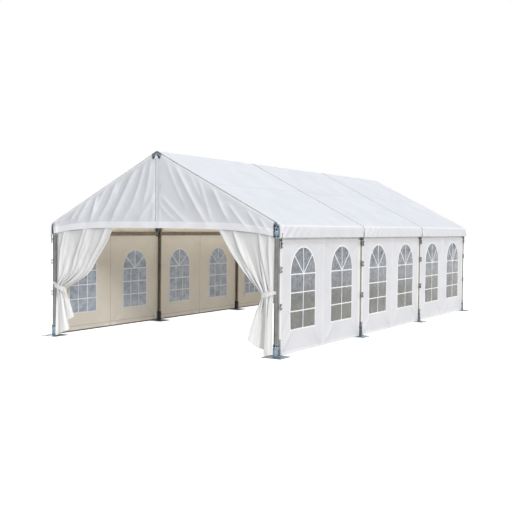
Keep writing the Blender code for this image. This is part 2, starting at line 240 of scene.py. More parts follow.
# Zinc with painted shade, for the inner frames' feet
shaded_zinc = zinc_finish("galvanised_steel_painted_shade", *ZINC, POST_OUT - 0.02)
dark_steel, shader, where = new_finish("dark_bolt_steel", metallic=0.6)
oxide = ramp(noise(where, 70.0), (0.3, (0.020, 0.021, 0.023)), (0.75, (0.060, 0.058, 0.055)))
feed(oxide, shader, "Base Color")
feed(ramp(noise(where, 90.0), (0.3, 0.35), (0.7, 0.60)), shader, "Roughness")
relief(shader, noise(where, 200.0), 0.0004, 0.4)
for side in SIDES:
    dress([f"foot_{side}_1", f"foot_{side}_4"], galvanised)
    dress([f"foot_{side}_2", f"foot_{side}_3"], shaded_zinc)


def alone(made):
    """Selects one object alone, and makes it the active one."""
    bpy.ops.object.select_all(action="DESELECT")
    made.select_set(True)
    bpy.context.view_layer.objects.active = made


def placed(name, mesh):
    """A new object for a mesh, selected alone."""
    made = bpy.data.objects.new(name, mesh)
    bpy.context.scene.collection.objects.link(made)
    alone(made)
    return made


def built(name, points, faces):
    """A new object from points and faces."""
    mesh = bpy.data.meshes.new(name)
    mesh.from_pydata(points, [], faces)
    return placed(name, mesh)


def in_edit(step, **settings):
    """Runs an edit-mode operator on the whole of the active mesh."""
    bpy.ops.object.mode_set(mode="EDIT")
    bpy.ops.mesh.select_all(action="SELECT")
    step(**settings)
    bpy.ops.object.mode_set(mode="OBJECT")


def named(name, finish):
    """Names the object that was just made, and gives it its finish."""
    made = bpy.context.object
    made.name = name
    made.data.name = name
    made.data.materials.clear()
    made.data.materials.append(finish)
    return made


def joined(name, pieces):
    """Several objects made one, with each face keeping its finish."""
    alone(pieces[0])
    for piece in pieces:
        piece.select_set(True)
    bpy.ops.object.join()
    made = bpy.context.object
    made.name = name
    made.data.name = name
    return made


def settled(made):
    """Puts the object's place into its mesh, so that the object sits at the origin."""
    alone(made)
    bpy.ops.object.transform_apply(location=True, rotation=True, scale=True)
    return made


def rounded_edges(made, width, segments=2):
    """Softens every sharp edge, and shades the rest smooth."""
    step = made.modifiers.new("soft edges", "BEVEL")
    step.width = width
    step.segments = segments
    step.limit_method = "ANGLE"
    step.angle_limit = SHARP_ANGLE
    alone(made)
    bpy.ops.object.modifier_apply(modifier=step.name)
    bpy.ops.object.shade_smooth_by_angle(angle=SHARP_ANGLE)
    return made


def rod(name, sides, radius, length, foot, soft, segments=2):
    """An upright bar or disc of dark steel that stands at the height foot, with soft edges."""
    bpy.ops.mesh.primitive_cylinder_add(vertices=sides, radius=radius, depth=length)
    bpy.context.object.location.z = foot + length / 2
    return rounded_edges(settled(named(name, dark_steel)), soft, segments)


def copies(name, model, places):
    """One mesh that holds the model again at every place."""
    made = []
    for place in places:
        again = placed(name, model.data.copy())
        again.data.transform(place)
        if place.determinant() < 0:
            again.data.flip_normals()
        made.append(again)
    return joined(name, made)


def removed(*models):
    """Takes away the models that were only copied from."""
    for model in models:
        bpy.data.objects.remove(model, do_unlink=True)


def fitted(piece, slot, *stands_for):
    """The piece rides on the tent and may stand for plain solids, which it hides. The slot is not used."""
    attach(piece, "root")
    if stands_for:
        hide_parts(*stands_for)
    return piece


def fastened(name, model, places):
    """A group of steel fittings: a model at every place."""
    return fitted(copies(name, model, places), "galvanised_steel")


def facing(point, direction, turn=0.0):
    """A place at a point, with +Z of the model turned to the direction."""
    spin = Matrix.Rotation(turn, 4, "Z")
    return Matrix.Translation(point) @ Vector(direction).to_track_quat("Z", "Y").to_matrix().to_4x4() @ spin


washer = rod("washer_model", 20, 0.020, WASHER_HEIGHT, 0.0, 0.0008, 1)
head = rod("bolt_head_model", 6, 0.013, 0.010, WASHER_HEIGHT, 0.0015)
bolt = joined("bolt_model", [washer, head])

bpy.ops.mesh.primitive_plane_add(size=2)
bpy.context.object.scale = (SOCKET_HALF_X, SOCKET_HALF_Y, 1)
weld = settled(named("weld_model", galvanised))
in_edit(bpy.ops.mesh.delete, type="ONLY_FACE")
in_edit(bpy.ops.mesh.subdivide, number_cuts=9)
for point in weld.data.vertices:
    point.co *= 1 + 0.012 * math.sin(point.index * 2.4)
bpy.ops.object.convert(target="CURVE")
weld.data.bevel_depth = WELD_RADIUS
weld.data.bevel_resolution = 2
bpy.ops.object.convert(target="MESH")
weld = named("weld_model", galvanised)
bpy.ops.object.shade_smooth()

STANDS = [(side, sign, n, y) for side, sign in SIDES.items() for n, y in enumerate(FRAMES_Y, 1)]
for side, sign, n, y in STANDS:
    centre = Vector((sign * POST_MIDDLE, y, 0))
    places = []
    for toward in (-1, 1):
        for shift, drop in ((-0.022, 0.0), (0.026, 0.004)):
            point = centre + Vector((shift * sign, toward * SOCKET_HALF_Y, SOCKET_BOLT_Z - drop))
            places.append(facing(point, (0, toward, 0), 0.3))
    places.append(facing(centre + Vector((sign * SOCKET_HALF_X, 0, SOCKET_BOLT_Z)), (sign, 0, 0), 0.5))
    fastened(f"socket_bolts_{side}_{n}", bolt, places)
    fastened(f"socket_weld_{side}_{n}", weld, [Matrix.Translation(centre + Vector((0, 0, PLATE_TOP)))])


# Eave brackets and ridge caps: folded galvanised cheeks over both faces of each frame's corner, with
# through bolts. Their dark turned edges stand proud, and the end frames' caps have two bolted legs.

ROOF_PITCH = math.radians(27.0)
RIDGE_Z = 4.21
EAVE_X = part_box("roof_cover_1")[1].x
BRACKET_INNER = 2.93
BRACKET_FACE = 0.028
CHEEK_OUTER = 3.062
CHEEK_LOW = 2.378
CHEEK_THICKNESS = 0.004
TURNED_EDGE_LOW = 2.40
CHEEK_BOLTS = ((2.960, 2.615), (3.028, 2.600), (3.000, 2.545), (2.962, 2.405), (3.030, 2.405))
RAIL_BOLTS = (2.400, 2.455)
CAP_TOP = 4.212
CAP_HALF = 0.124
CAP_HEIGHT = 0.060
CAP_THICKNESS = 0.003
CAP_BOLTS = ((0.075, 4.072), (0.030, 4.118))
MIRROR_X = Matrix.Scale(-1, 4, (1, 0, 0))
MIRROR_Y = Matrix.Scale(-1, 4, (0, 1, 0))
# Models of plates face the front, and are mirrored where they face the rear
ENDS = {-1: Matrix.Identity(4), 1: MIRROR_Y}


def roof_z(x, below=0.0):
    return RIDGE_Z - abs(x) * math.tan(ROOF_PITCH) - below / math.cos(ROOF_PITCH)


def thickened(made, thickness, offset, material_offset=0):
    """Gives a flat face or a sheet its thickness: an offset of -1 is inward, and 0 is to both sides."""
    step = made.modifiers.new("thickness", "SOLIDIFY")
    step.thickness = thickness
    step.offset = offset
    step.material_offset = material_offset
    bpy.ops.object.modifier_apply(modifier=step.name)


def plate(name, outline, thickness, finish):
    """A flat plate from its outline, standing in X and Z, with its back face at Y = 0."""
    made = built(name, [(x, -thickness / 2, z) for x, z in outline], [list(range(len(outline)))])
    thickened(made, thickness, 0)
    in_edit(bpy.ops.mesh.normals_make_consistent, inside=False)
    return named(name, finish)


outer_top = roof_z(CHEEK_OUTER, 0.028)
inner_top = roof_z(BRACKET_INNER, 0.020)
cheek_outline = [(BRACKET_INNER + 0.002, CHEEK_LOW), (CHEEK_OUTER, CHEEK_LOW),
                 (CHEEK_OUTER, outer_top - 0.02), (3.052, outer_top), (2.985, inner_top - 0.012),
                 (2.948, inner_top - 0.004), (BRACKET_INNER + 0.002, inner_top - 0.030)]
cheek = rounded_edges(plate("cheek_model", cheek_outline, CHEEK_THICKNESS, galvanised), 0.0012)
turned_edges = []
for near, far, top in ((2.932, 2.940, inner_top - 0.05), (3.054, 3.061, outer_top - 0.04)):
    outline = [(near, TURNED_EDGE_LOW), (far, TURNED_EDGE_LOW), (far, top), (near, top)]
    turned_edges.append(rounded_edges(plate("cheek_edge_model", outline, 0.016, dark_steel), 0.002))
cheek_edges = joined("cheek_edges_model", turned_edges)
stud = rod("stud_model", 16, 0.011, 0.008, 0.0, 0.002)

slate_steel = zinc_finish("slate_cap_steel", (0.060, 0.072, 0.082), (0.110, 0.130, 0.145))
leg_outline = [(0.020, 4.135), (0.105, 4.090), (0.098, 4.040), (0.062, 4.052), (0.040, 4.100)]
cap_leg = rounded_edges(plate("cap_leg_model", leg_outline, 0.005, slate_steel), 0.0015)
cap_end = CAP_TOP - CAP_HALF * math.tan(ROOF_PITCH)
cap_side = [(CAP_HALF, cap_end), (CAP_HALF, cap_end - CAP_HEIGHT)]
cap_outline = [(0.0, CAP_TOP), *cap_side, (0.0, CAP_TOP - CAP_HEIGHT)]
cap_outline += [(-x, z) for x, z in reversed(cap_side)]
cap_steel = zinc_finish("ridge_cap_steel", (0.13, 0.18, 0.22), (0.24, 0.31, 0.37))
cap_face = rounded_edges(plate("cap_face_model", cap_outline, CAP_THICKNESS, cap_steel), 0.0010)

for n, y in enumerate(FRAMES_Y, 1):
    for side, sign in SIDES.items():
        flip = Matrix.Identity(4) if sign > 0 else MIRROR_X
        faces_at, bolts_at, studs_at = [], [], []
        for toward, turn in ENDS.items():
            faces_at.append(Matrix.Translation((0, y + toward * BRACKET_FACE, 0)) @ turn @ flip)
            face_y = y + toward * (BRACKET_FACE + CHEEK_THICKNESS)
            for x, z in CHEEK_BOLTS:
                bolts_at.append(facing((sign * x, face_y, z), (0, toward, 0), x * 40))
        fastened(f"bracket_cheeks_{side}_{n}", cheek, faces_at)
        fastened(f"bracket_edges_{side}_{n}", cheek_edges, faces_at)
        fastened(f"bracket_bolts_{side}_{n}", bolt, bolts_at)
        for z in RAIL_BOLTS:
            for shift in (-0.012, 0.012):
                studs_at.append(facing((sign * EAVE_X, y + shift, z + shift), (sign, 0, 0)))
        fastened(f"rail_bolts_{side}_{n}", stud, studs_at)
for n, toward in ((1, -1), (4, 1)):
    face_y = FRAMES_Y[n - 1] + toward * (FACE + 0.008)
    at = Matrix.Translation((0, face_y, 0)) @ ENDS[toward]
    fastened(f"ridge_cap_face_{n}", cap_face, [at])
    at = Matrix.Translation((0, face_y + toward * CAP_THICKNESS, 0)) @ ENDS[toward]
    fastened(f"ridge_cap_legs_{n}", cap_leg, [at, at @ MIRROR_X])
    bolts_at = []
    for x, z in CAP_BOLTS:
        for sign in (-1, 1):
            bolts_at.append(facing((sign * x, face_y + toward * 0.008, z), (0, toward, 0), x * 30))
    fastened(f"ridge_cap_bolts_{n}", stud, bolts_at)
removed(cheek, cheek_edges, cap_leg, cap_face)


# Roof covers: white PVC-coated polyester, one sheet a bay from drop to drop, slid into the rafters'
# grooves by its corded edges and pulled tight. It sags a little between frames, shows a welded seam
# half way up each slope and faint folds, and its turned-down valance wrinkles towards the corners.

CLOTH_THICKNESS = 0.0012
SEAM_X = 1.40
EAVE_RADIUS = 0.11
DROP_Z = 2.385
DROP_FOLD = 0.045
COVER_LAP = 0.018
COVER_GAP = 0.0006
SLOPE_POINTS = 64
WRINKLE_RISE = 4.2
# Each fold runs from one place to another, up the slope and along the bay, with a width and a rise
ROOF_FOLDS = (
    (0.5, 0.4, 2.9, 1.5, 0.10, 0.006), (0.7, 3.4, 2.6, 2.6, 0.09, -0.006), (1.2, 1.0, 3.1, 0.5, 0.07, 0.004),
    (0.3, 2.4, 1.5, 3.3, 0.10, 0.005), (1.8, 2.9, 3.2, 3.6, 0.06, 0.005), (0.2, 1.6, 1.1, 0.9, 0.09, -0.005),
)


def eased(value):
    value = np.clip(value, 0.0, 1.0)
    return value * value * (3 - 2 * value)


def wave(turns):
    return np.sin(2 * math.pi * turns)


def creased(u, v, lines):
    """Height of soft folds on a sheet: each runs from (u0, v0) to (u1, v1) with a width and a rise."""
    height = np.zeros(np.broadcast(u, v).shape)
    for u0, v0, u1, v1, width, rise in lines:
        du, dv = u1 - u0, v1 - v0
        length = math.hypot(du, dv)
        along = ((u - u0) * du + (v - v0) * dv) / length**2
        aside = ((u - u0) * dv - (v - v0) * du) / length
        ends = eased((along + 0.12) / 0.45) * eased((1.12 - along) / 0.45)
        height += rise * ends * np.exp(-np.sqrt(aside**2 + (0.2 * width) ** 2) / (0.6 * width) + 0.33)
    return height


def billows(u, v, seed, size, count=5):
    """Gentle waves in a few directions, about one metre long for a size of 1."""
    chance = np.random.default_rng(seed)
    height = np.zeros(np.broadcast(u, v).shape)
    for _ in range(count):
        turn, start = chance.uniform(0, math.pi), chance.uniform(0, 2 * math.pi)
        length = size * chance.uniform(0.6, 1.5)
        height += np.sin(2 * math.pi * (u * math.cos(turn) + v * math.sin(turn)) / length + start)
    return height / count


def grid_faces(rows, columns):
    corner = np.arange(rows * columns).reshape(rows, columns)
    around = [corner[:-1, :-1], corner[:-1, 1:], corner[1:, 1:], corner[1:, :-1]]
    return np.stack(around, -1).reshape(-1, 4)


def cloth(name, points, flat, outward, finishes, thickness=CLOTH_THICKNESS, faces=None):
    """A thin closed sheet from a grid of points. flat holds each point's place on the cut cloth, in metres.

    The first finish is the outside's and the last the inside's.
    """
    if faces is None:
        faces = grid_faces(*points.shape[:2])
    points, flat = points.reshape(-1, 3), flat.reshape(-1, 2)
    a, b, c = points[faces[:, 0]], points[faces[:, 1]], points[faces[:, 2]]
    if (np.cross(b - a, c - a) @ np.asarray(outward, float)).sum() < 0:
        faces = faces[:, ::-1]
    made = built(name, points.tolist(), faces.tolist())
    places = made.data.uv_layers.new(name="flat").data
    places.foreach_set("uv", flat[faces.reshape(-1)].astype(np.float32).ravel())
    for finish in finishes:
        made.data.materials.append(finish)
    in_edit(bpy.ops.mesh.remove_doubles, threshold=0.0002)
    thickened(made, thickness, -1, len(finishes) - 1)
    bpy.ops.object.shade_smooth_by_angle(angle=math.radians(50))
    return made


def strips(lines, outward, finish):
    """Flat strips welded on a sheet. Each line has its points, the way to its side, a width and a rise."""
    points, faces = [], []
    outward = np.asarray(outward, float)
    for middle, aside, width, rise in lines:
        aside = np.asarray(aside, float)
        bevel = min(0.002, width / 4)
        start, count = len(points), len(middle)
        for across, up in ((-width / 2, -0.0004), (-width / 2 + bevel, rise), (width / 2 - bevel, rise),
                           (width / 2, -0.0004)):
            points.extend((middle + aside * across + outward * up).tolist())
        rail = [start + np.arange(count) + k * count for k in range(4)]
        for low, high in zip(rail, rail[1:] + rail[:1]):
            faces += np.stack([low[:-1], low[1:], high[1:], high[:-1]], -1).tolist()
        faces += [[int(r[0]) for r in rail], [int(r[-1]) for r in rail[::-1]]]
    built("strips", points, faces)
    in_edit(bpy.ops.mesh.normals_make_consistent, inside=False)
    made = named("strips", finish)
    bpy.ops.object.shade_smooth_by_angle(angle=math.radians(30))
    return made


def cloth_finish(name, colour, tone=0.04, roughness=0.5, weave=0.00012, soft=0.0):
    """Coated cloth: a faint weave along the cut, slight uneven tone, and a dull sheen."""
    finish, shader, where = new_finish(name)
    flat = finish.node_tree.nodes.new("ShaderNodeTexCoord").outputs["UV"]
    dark = tuple(c * (1 - tone) for c in colour)
    light = tuple(min(1.0, c * (1 + tone / 2)) for c in colour)
    feed(ramp(noise(where, 1.6, 4.0), (0.35, dark), (0.65, light)), shader, "Base Color")
    feed(ramp(noise(where, 7.0), (0.3, roughness - 0.06), (0.7, roughness + 0.06)), shader, "Roughness")
    shader.inputs["Specular IOR Level"].default_value = 0.35
    shader.inputs["Sheen Weight"].default_value = soft
    for direction in ("X", "Y"):
        threads = node_after(flat, "ShaderNodeTexWave")
        threads.bands_direction = direction
        threads.inputs["Scale"].default_value = 100.0
        relief(shader, threads.outputs["Fac"], weave)
    relief(shader, noise(where, 14.0), 0.0008)
    return finish


def with_y(places, y=0.0):
    """Places or directions in X and Z, given their Y."""
    return np.insert(places, 1, y, axis=-1)


def cover_line():
    """Half of the cover's line from ridge to the foot of its drop: places, outward directions, lengths."""
    bend_x = EAVE_X - EAVE_RADIUS
    bend_z = roof_z(bend_x, EAVE_RADIUS)
    bend_start = math.pi / 2 - ROOF_PITCH
    slope_end = bend_x + EAVE_RADIUS * math.cos(bend_start)
    places, outs = [], []
    for x in np.linspace(0.0, slope_end, SLOPE_POINTS):
        places.append((x, roof_z(x)))
        outs.append((math.sin(ROOF_PITCH), math.cos(ROOF_PITCH)))
    for angle in np.linspace(bend_start, 0.0, 11)[1:]:
        outs.append((math.cos(angle), math.sin(angle)))
        places.append((bend_x + EAVE_RADIUS * math.cos(angle), bend_z + EAVE_RADIUS * math.sin(angle)))
    for z in np.linspace(bend_z, DROP_Z, 9)[1:]:
        places.append((EAVE_X, z))
        outs.append((1.0, 0.0))
    places, outs = np.array(places), np.array(outs)
    run = np.concatenate([[0.0], np.cumsum(np.hypot(*np.diff(places, axis=0).T))])
    return places, outs, run


roof_outer = cloth_finish("roof_cloth_outer", (0.74, 0.76, 0.79))
# The drop's copy of the roof cloth is greyer and less blue than the slope's, for how each faces the light:
# painted light and shade
roof_drop = cloth_finish("roof_cloth_drop", (0.735, 0.725, 0.745))
# Inside faces of the white cloth are tinted beige for the warm light let through it, the ceiling's copy
# lighter than the walls': painted light
roof_inner = cloth_finish("roof_cloth_inner", (0.80, 0.74, 0.64), roughness=0.6)
cloth_inner = cloth_finish("cloth_inner", (0.62, 0.575, 0.50), roughness=0.6)
roof_seam = cloth_finish("roof_cloth_seam", (0.68, 0.70, 0.73), weave=0.0)
bright_edge = cloth_finish("cloth_edge_welds", (0.90, 0.90, 0.90), tone=0.02, weave=0.0)
# Painted shade: a dark strip on each cover's edge where it runs into the rafter's groove
groove_shade = cloth_finish("cover_groove_painted_shade", (0.20, 0.21, 0.23), tone=0.10, weave=0.0)

line, line_out, line_run = cover_line()
upright_ridge = np.concatenate([[(0.0, 1.0)], line_out[1:]])
places = np.concatenate([line[:0:-1] * (-1, 1), line])
outs = with_y(np.concatenate([line_out[:0:-1] * (-1, 1), upright_ridge]))
run = np.concatenate([-line_run[:0:-1], line_run])
slope_run = line_run[SLOPE_POINTS - 1]
full_run = line_run[-1]
drop_top = float(np.interp(slope_run + DROP_FOLD, line_run, line[:, 1]))
for n in range(1, 4):
    low, high = FRAMES_Y[n - 1] + FACE + COVER_GAP - COVER_LAP, FRAMES_Y[n] - FACE - COVER_GAP + COVER_LAP
    edge = np.array([0.0, 0.006, 0.014, 0.022, 0.032, 0.05, 0.08])
    inside = np.linspace(0.12, high - low - 0.12, 68)
    across = low + np.concatenate([edge, inside, (high - low) - edge[::-1]])
    s, y = np.meshgrid(run, across, indexing="ij")
    along, from_ridge = y - low, np.abs(s)
    share = along / (high - low)
    from_edge = np.minimum(along, high - y)
    drop = full_run - from_ridge
    on_slope = np.clip(from_ridge / slope_run, 0.0, 1.0)
    taut = eased(from_edge / 0.25)
    # The sag between frames, the corded edge in its groove, then the folds, billows and scallops at the ridge
    lift = -0.020 * np.sin(math.pi * on_slope) * np.sin(math.pi * share) ** 0.8
    lift += (1 - eased((from_edge - 0.017) / 0.03)) * (0.0028 + 0.0042 * eased((0.2 - from_ridge) / 0.06))
    lift += taut * creased(from_ridge, along if n % 2 else (low - y) + (high - low), ROOF_FOLDS)
    slope_sign = np.where(s > 0, 1, -1)
    lift += 0.0035 * taut * eased(on_slope * 6) * billows(s + 3 * n * slope_sign, y, 40 + n, 1.3)
    lift += 0.006 * np.abs(np.sin(math.pi * share * 5.5)) * taut * eased((0.28 - from_ridge) / 0.25)
    # The valance's wrinkles, raked from both corners, and its hem
    rake_left = wave(along * 3.4 - drop * 4.0)
    rake_right = wave(along * 3.1 + drop * 3.4 + 0.4 * np.sin(2.3 * y))
    wrinkle = rake_left * np.exp(-along / 0.9) + 0.8 * rake_right * np.exp(-(high - y) / 1.5)
    below_bend = eased((from_ridge - slope_run - 0.03) / 0.08)
    lift += below_bend * eased(from_edge / 0.08) * (0.0045 * wrinkle) * WRINKLE_RISE
    lift += 0.0018 * eased((0.020 - drop) / 0.006)
    surface = np.stack([places[:, 0][:, None] + outs[:, 0][:, None] * lift, y,
                        places[:, 1][:, None] + outs[:, 2][:, None] * lift], -1)
    cover = cloth(f"roof_sheet_{n}", surface, np.stack([s, y], -1), (0, 0, 1),
                  [roof_outer, roof_drop, roof_inner])
    # The drop's faces take the greyer copy of the cloth: painted shade
    for face in cover.data.polygons:
        if face.material_index == 0 and face.center.z < drop_top:
            face.material_index = 1
    fitted(cover, "roof_fabric", f"roof_cover_{n}")

    welds = []
    for sign in SIDES.values():
        seam_row = int(np.argmin(np.abs(places[:, 0] - sign * SEAM_X)))
        fold_row = int(np.argmin(np.abs(run - sign * (slope_run + DROP_FOLD))))
        for row, width, rise, finish in ((seam_row, 0.040, 0.0012, roof_seam),
                                         (fold_row, 0.022, 0.0014, bright_edge)):
            aside = np.cross(outs[row], (0, 1, 0))
            welds.append(strips([(surface[row, 5:-5], aside, width, rise)], outs[row], finish))
    # Painted shade along the edge that runs into the groove at the next frame
    if n < 3:
        welds.append(strips([(surface[:, -3], (0, 1, 0), 0.032, 0.0018)], outs, groove_shade))
    for column in (5, len(across) - 6):
        welds.append(strips([(surface[:, column], (0, 1, 0), 0.036, 0.0012)], outs, bright_edge))
    if n != 2:
        toward = -1 if n == 1 else 1
        for sign in SIDES.values():
            middle = with_y(line[SLOPE_POINTS - 2:] * (sign, 1), FRAMES_Y[0] if n == 1 else FRAMES_Y[-1])
            out = with_y(line_out[SLOPE_POINTS - 2:] * (sign, 1))
            welds.append(strips([(middle, (0, 1, 0), 0.046, 0.0022)], out, bright_edge))
            wrapped = middle - out * 0.0225 + (0, toward * (FACE + 0.0008), 0)
            welds.append(strips([(wrapped, out, 0.044, 0.0012)], (0, toward, 0), bright_edge))
    welds = fitted(joined(f"roof_welds_{n}", welds), "roof_fabric")


# Side walls: white coated polyester from the ground to the eave purlin, slid into the posts' grooves.
# Each bay is two widths welded together half way, and each width has an arched window of clear film
# with white bars welded on. Cream bands reinforce the edges, and the hem is turned up and welded.

WALL_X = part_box("wall_right_1")[1].x
WALL_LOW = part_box("wall_right_1")[0].z
WALL_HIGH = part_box("wall_right_1")[1].z - 0.0005
BAY = FRAMES_Y[1] - FRAMES_Y[0]
EDGE_IN_GROOVE = 0.0180
EDGE_AT_SOCKET = 0.0312
NOTCH_TOP = 0.262
WINDOWS = {
    "left": {"width": 0.98, "sill": 0.46, "spring": 1.48, "spacing": 2.00,
             "uprights": (-0.333, 0.333), "fan": (40, 90, 140)},
    "right": {"width": 1.12, "sill": 0.49, "spring": 1.63, "spacing": 1.88,
              "uprights": (0.0,), "fan": (45, 90, 135)},
}
WINDOW_ROWS = 3
FILM_LAP = 0.018
FILM_THICKNESS = 0.0006
BAR_WIDTH = 0.026
BORDER_WIDTH = 0.034
BAND_WIDTH = 0.11
BAND_INSET = 0.085
SEAM_WIDTH = 0.030
WALL_HEM = 0.06
INNER_HEM = 0.13
GROUND_SHADOW_HEIGHT = 0.017
FIRST_SEEDS = {"left": 10, "right": 20}
# Each fold runs from one place to another, along the bay and up, with a width and a rise
WALL_FOLDS = (
    (0.08, 0.05, 0.72, 0.62, 0.07, 0.010), (0.10, 0.30, 0.55, 0.95, 0.07, -0.006),
    (1.95, 0.05, 1.45, 0.50, 0.07, 0.008), (1.98, 2.25, 1.55, 1.95, 0.06, 0.006),
    (2.05, 0.06, 2.60, 0.50, 0.07, 0.009), (3.92, 0.06, 3.30, 0.55, 0.08, 0.010),
    (2.02, 2.28, 2.55, 2.02, 0.06, -0.006), (0.10, 2.25, 0.50, 1.90, 0.06, 0.006),
    (3.90, 2.26, 3.50, 1.95, 0.06, -0.006), (2.00, 1.55, 2.20, 1.10, 0.05, 0.005),
)

wall_outer = cloth_finish("wall_cloth_outer", (0.725, 0.715, 0.725))
bar_outer = cloth_finish("wall_cloth_welds", (0.88, 0.88, 0.87), weave=0.0)
seam_outer = cloth_finish("wall_cloth_seams", (0.80, 0.80, 0.80), weave=0.0)
wall_band = cloth_finish("wall_cloth_bands", (0.87, 0.845, 0.77))
bar_inner = cloth_finish("window_bars_inner", (0.66, 0.66, 0.66), weave=0.0)
seam_inner = cloth_finish("wall_seams_inside", (0.36, 0.33, 0.28), weave=0.0)
# Painted shadow: a dark strip along the wall's foot inside, for the shade under the wall
ground_shadow_finish = cloth_finish("wall_cloth_painted_ground_shadow", (0.10, 0.09, 0.075), weave=0.0)

film, shader, where = new_finish("window_film")
# Painted light in the film: darker and warmer low down, paler and bluer higher up, a painted shade below and
# a painted sky reflection above
height = node_after(where, "ShaderNodeSeparateXYZ").outputs["Z"]
sky_and_shade_by_height = ramp(stretched(height, (0.4, 0.4, 0.4)), (0.20, (0.108, 0.099, 0.074)), (0.42, (0.122, 0.118, 0.098)),
            (0.58, (0.222, 0.233, 0.250)), (0.80, (0.248, 0.266, 0.298)))
patches = ramp(noise(stretched(where, (1.0, 1.0, 1.6)), 8.0, 8.0), (0.36, 0.64), (0.64, 1.24))
feed(blend(1.0, sky_and_shade_by_height, patches, "MULTIPLY"), shader, "Base Color")
shader.inputs["Roughness"].default_value = 0.12
shader.inputs["Alpha"].default_value = 0.80
relief(shader, noise(where, 6.0), 0.010, 0.6)

film_inner = film.copy()
film_inner.name = "window_film_inside"
shader = film_inner.node_tree.nodes["Principled BSDF"]
where = film_inner.node_tree.nodes.new("ShaderNodeTexCoord").outputs["Object"]
# Painted light: the film's inside face is tinted blue for the sky seen through it
clouded = noise(stretched(where, (1.0, 1.0, 1.6)), 5.0, 8.0)
feed(ramp(clouded, (0.36, (0.225, 0.275, 0.345)), (0.64, (0.400, 0.460, 0.540))), shader, "Base Color")


def wall_lift(side, n, y, z):
    """How far a wall's cloth stands out of its plane at a place: billow, folds, and puckers at the seam."""
    start, seed = FRAMES_Y[n - 1], n + FIRST_SEEDS[side]
    height = (z - WALL_LOW) / (WALL_HIGH - WALL_LOW)
    free = eased(np.minimum(y - start, start + BAY - y) / 0.16) * eased((WALL_HIGH - z) / 0.2)
    lift = 0.012 * wave((y - start) / BAY) ** 2 * np.sin(math.pi * np.clip(height, 0, 1))
    place = BAY - (y - start) if seed % 2 == 0 else y - start
    lift += creased(place, z, WALL_FOLDS) * (2.6 + 0.15 * (seed % 4))
    lift += 0.0035 * billows(y, z, seed, 1.1)
    lift += 0.0040 * billows(y + 0.6 * z, z, seed + 5, 0.36) * eased((0.75 - z) / 0.6)
    from_seam = (y - start - BAY / 2) / 0.10
    pucker = np.exp(-from_seam**2) * np.sin(2 * math.pi * z / 0.17 + 1.5 * np.sin(3 * z))
    return (lift + 0.0018 * pucker) * free


def wall_points(side, n, y, z, inset=0.0):
    """Points on a wall's cloth, or a little inside its face."""
    y, z = np.broadcast_arrays(y, z)
    return np.stack([SIDES[side] * (WALL_X + wall_lift(side, n, y, z) - inset), y, z], -1)


def film_points(side, n, centre, y, z, inset=0.0):
    """Points on a window's film: behind the cloth at its edge, and slightly rippled away from it."""
    y, z = np.broadcast_arrays(y, z)
    window = WINDOWS[side]
    away = np.hypot(np.abs(y - centre), np.maximum(z - window["spring"], 0.0))
    inside_by = np.minimum(window["width"] / 2 - away, z - window["sill"])
    seed = n + FIRST_SEEDS[side] + 50 + int(centre)
    ripple = 0.004 * billows(y, z, seed, 0.45) * eased(inside_by / 0.12)
    x = WALL_X + wall_lift(side, n, y, z) - CLOTH_THICKNESS - 0.0008 + ripple - inset
    return np.stack([SIDES[side] * x, y, z], -1)


def window_lines(side, centre):
    """Where a window's bars run: places along the tent, heights, width, rise, and whether on the cloth."""
    window = WINDOWS[side]
    radius, sill, spring = window["width"] / 2, window["sill"], window["spring"]
    turn = np.linspace(0.0, math.pi, 33)[1:-1]
    around_y = centre + np.concatenate([np.full(14, radius), radius * np.cos(turn), np.full(14, -radius)])
    around_z = np.concatenate([np.linspace(sill, spring, 14), spring + radius * np.sin(turn),
                               np.linspace(spring, sill, 14)])
    foot = np.linspace(centre - radius - 0.015, centre + radius + 0.015, 20)
    wide = np.linspace(centre - radius, centre + radius, 20)
    lines = [(around_y, around_z, BORDER_WIDTH, 0.0022, True), (foot, sill, BORDER_WIDTH, 0.0026, True),
             (wide, spring, BAR_WIDTH, 0.0018, False)]
    for row in range(1, WINDOW_ROWS):
        lines.append((wide, sill + (spring - sill) * row / WINDOW_ROWS, BAR_WIDTH, 0.0018, False))
    for at in window["uprights"]:
        lines.append((centre + at * radius, np.linspace(sill, spring, 20), BAR_WIDTH, 0.0014, False))
    out = np.linspace(0.0, radius, 14)
    for angle in np.radians(window["fan"]):
        across, up = out * math.cos(angle), out * math.sin(angle)
        lines.append((centre + across, spring + up, BAR_WIDTH, 0.0014, False))
    return lines


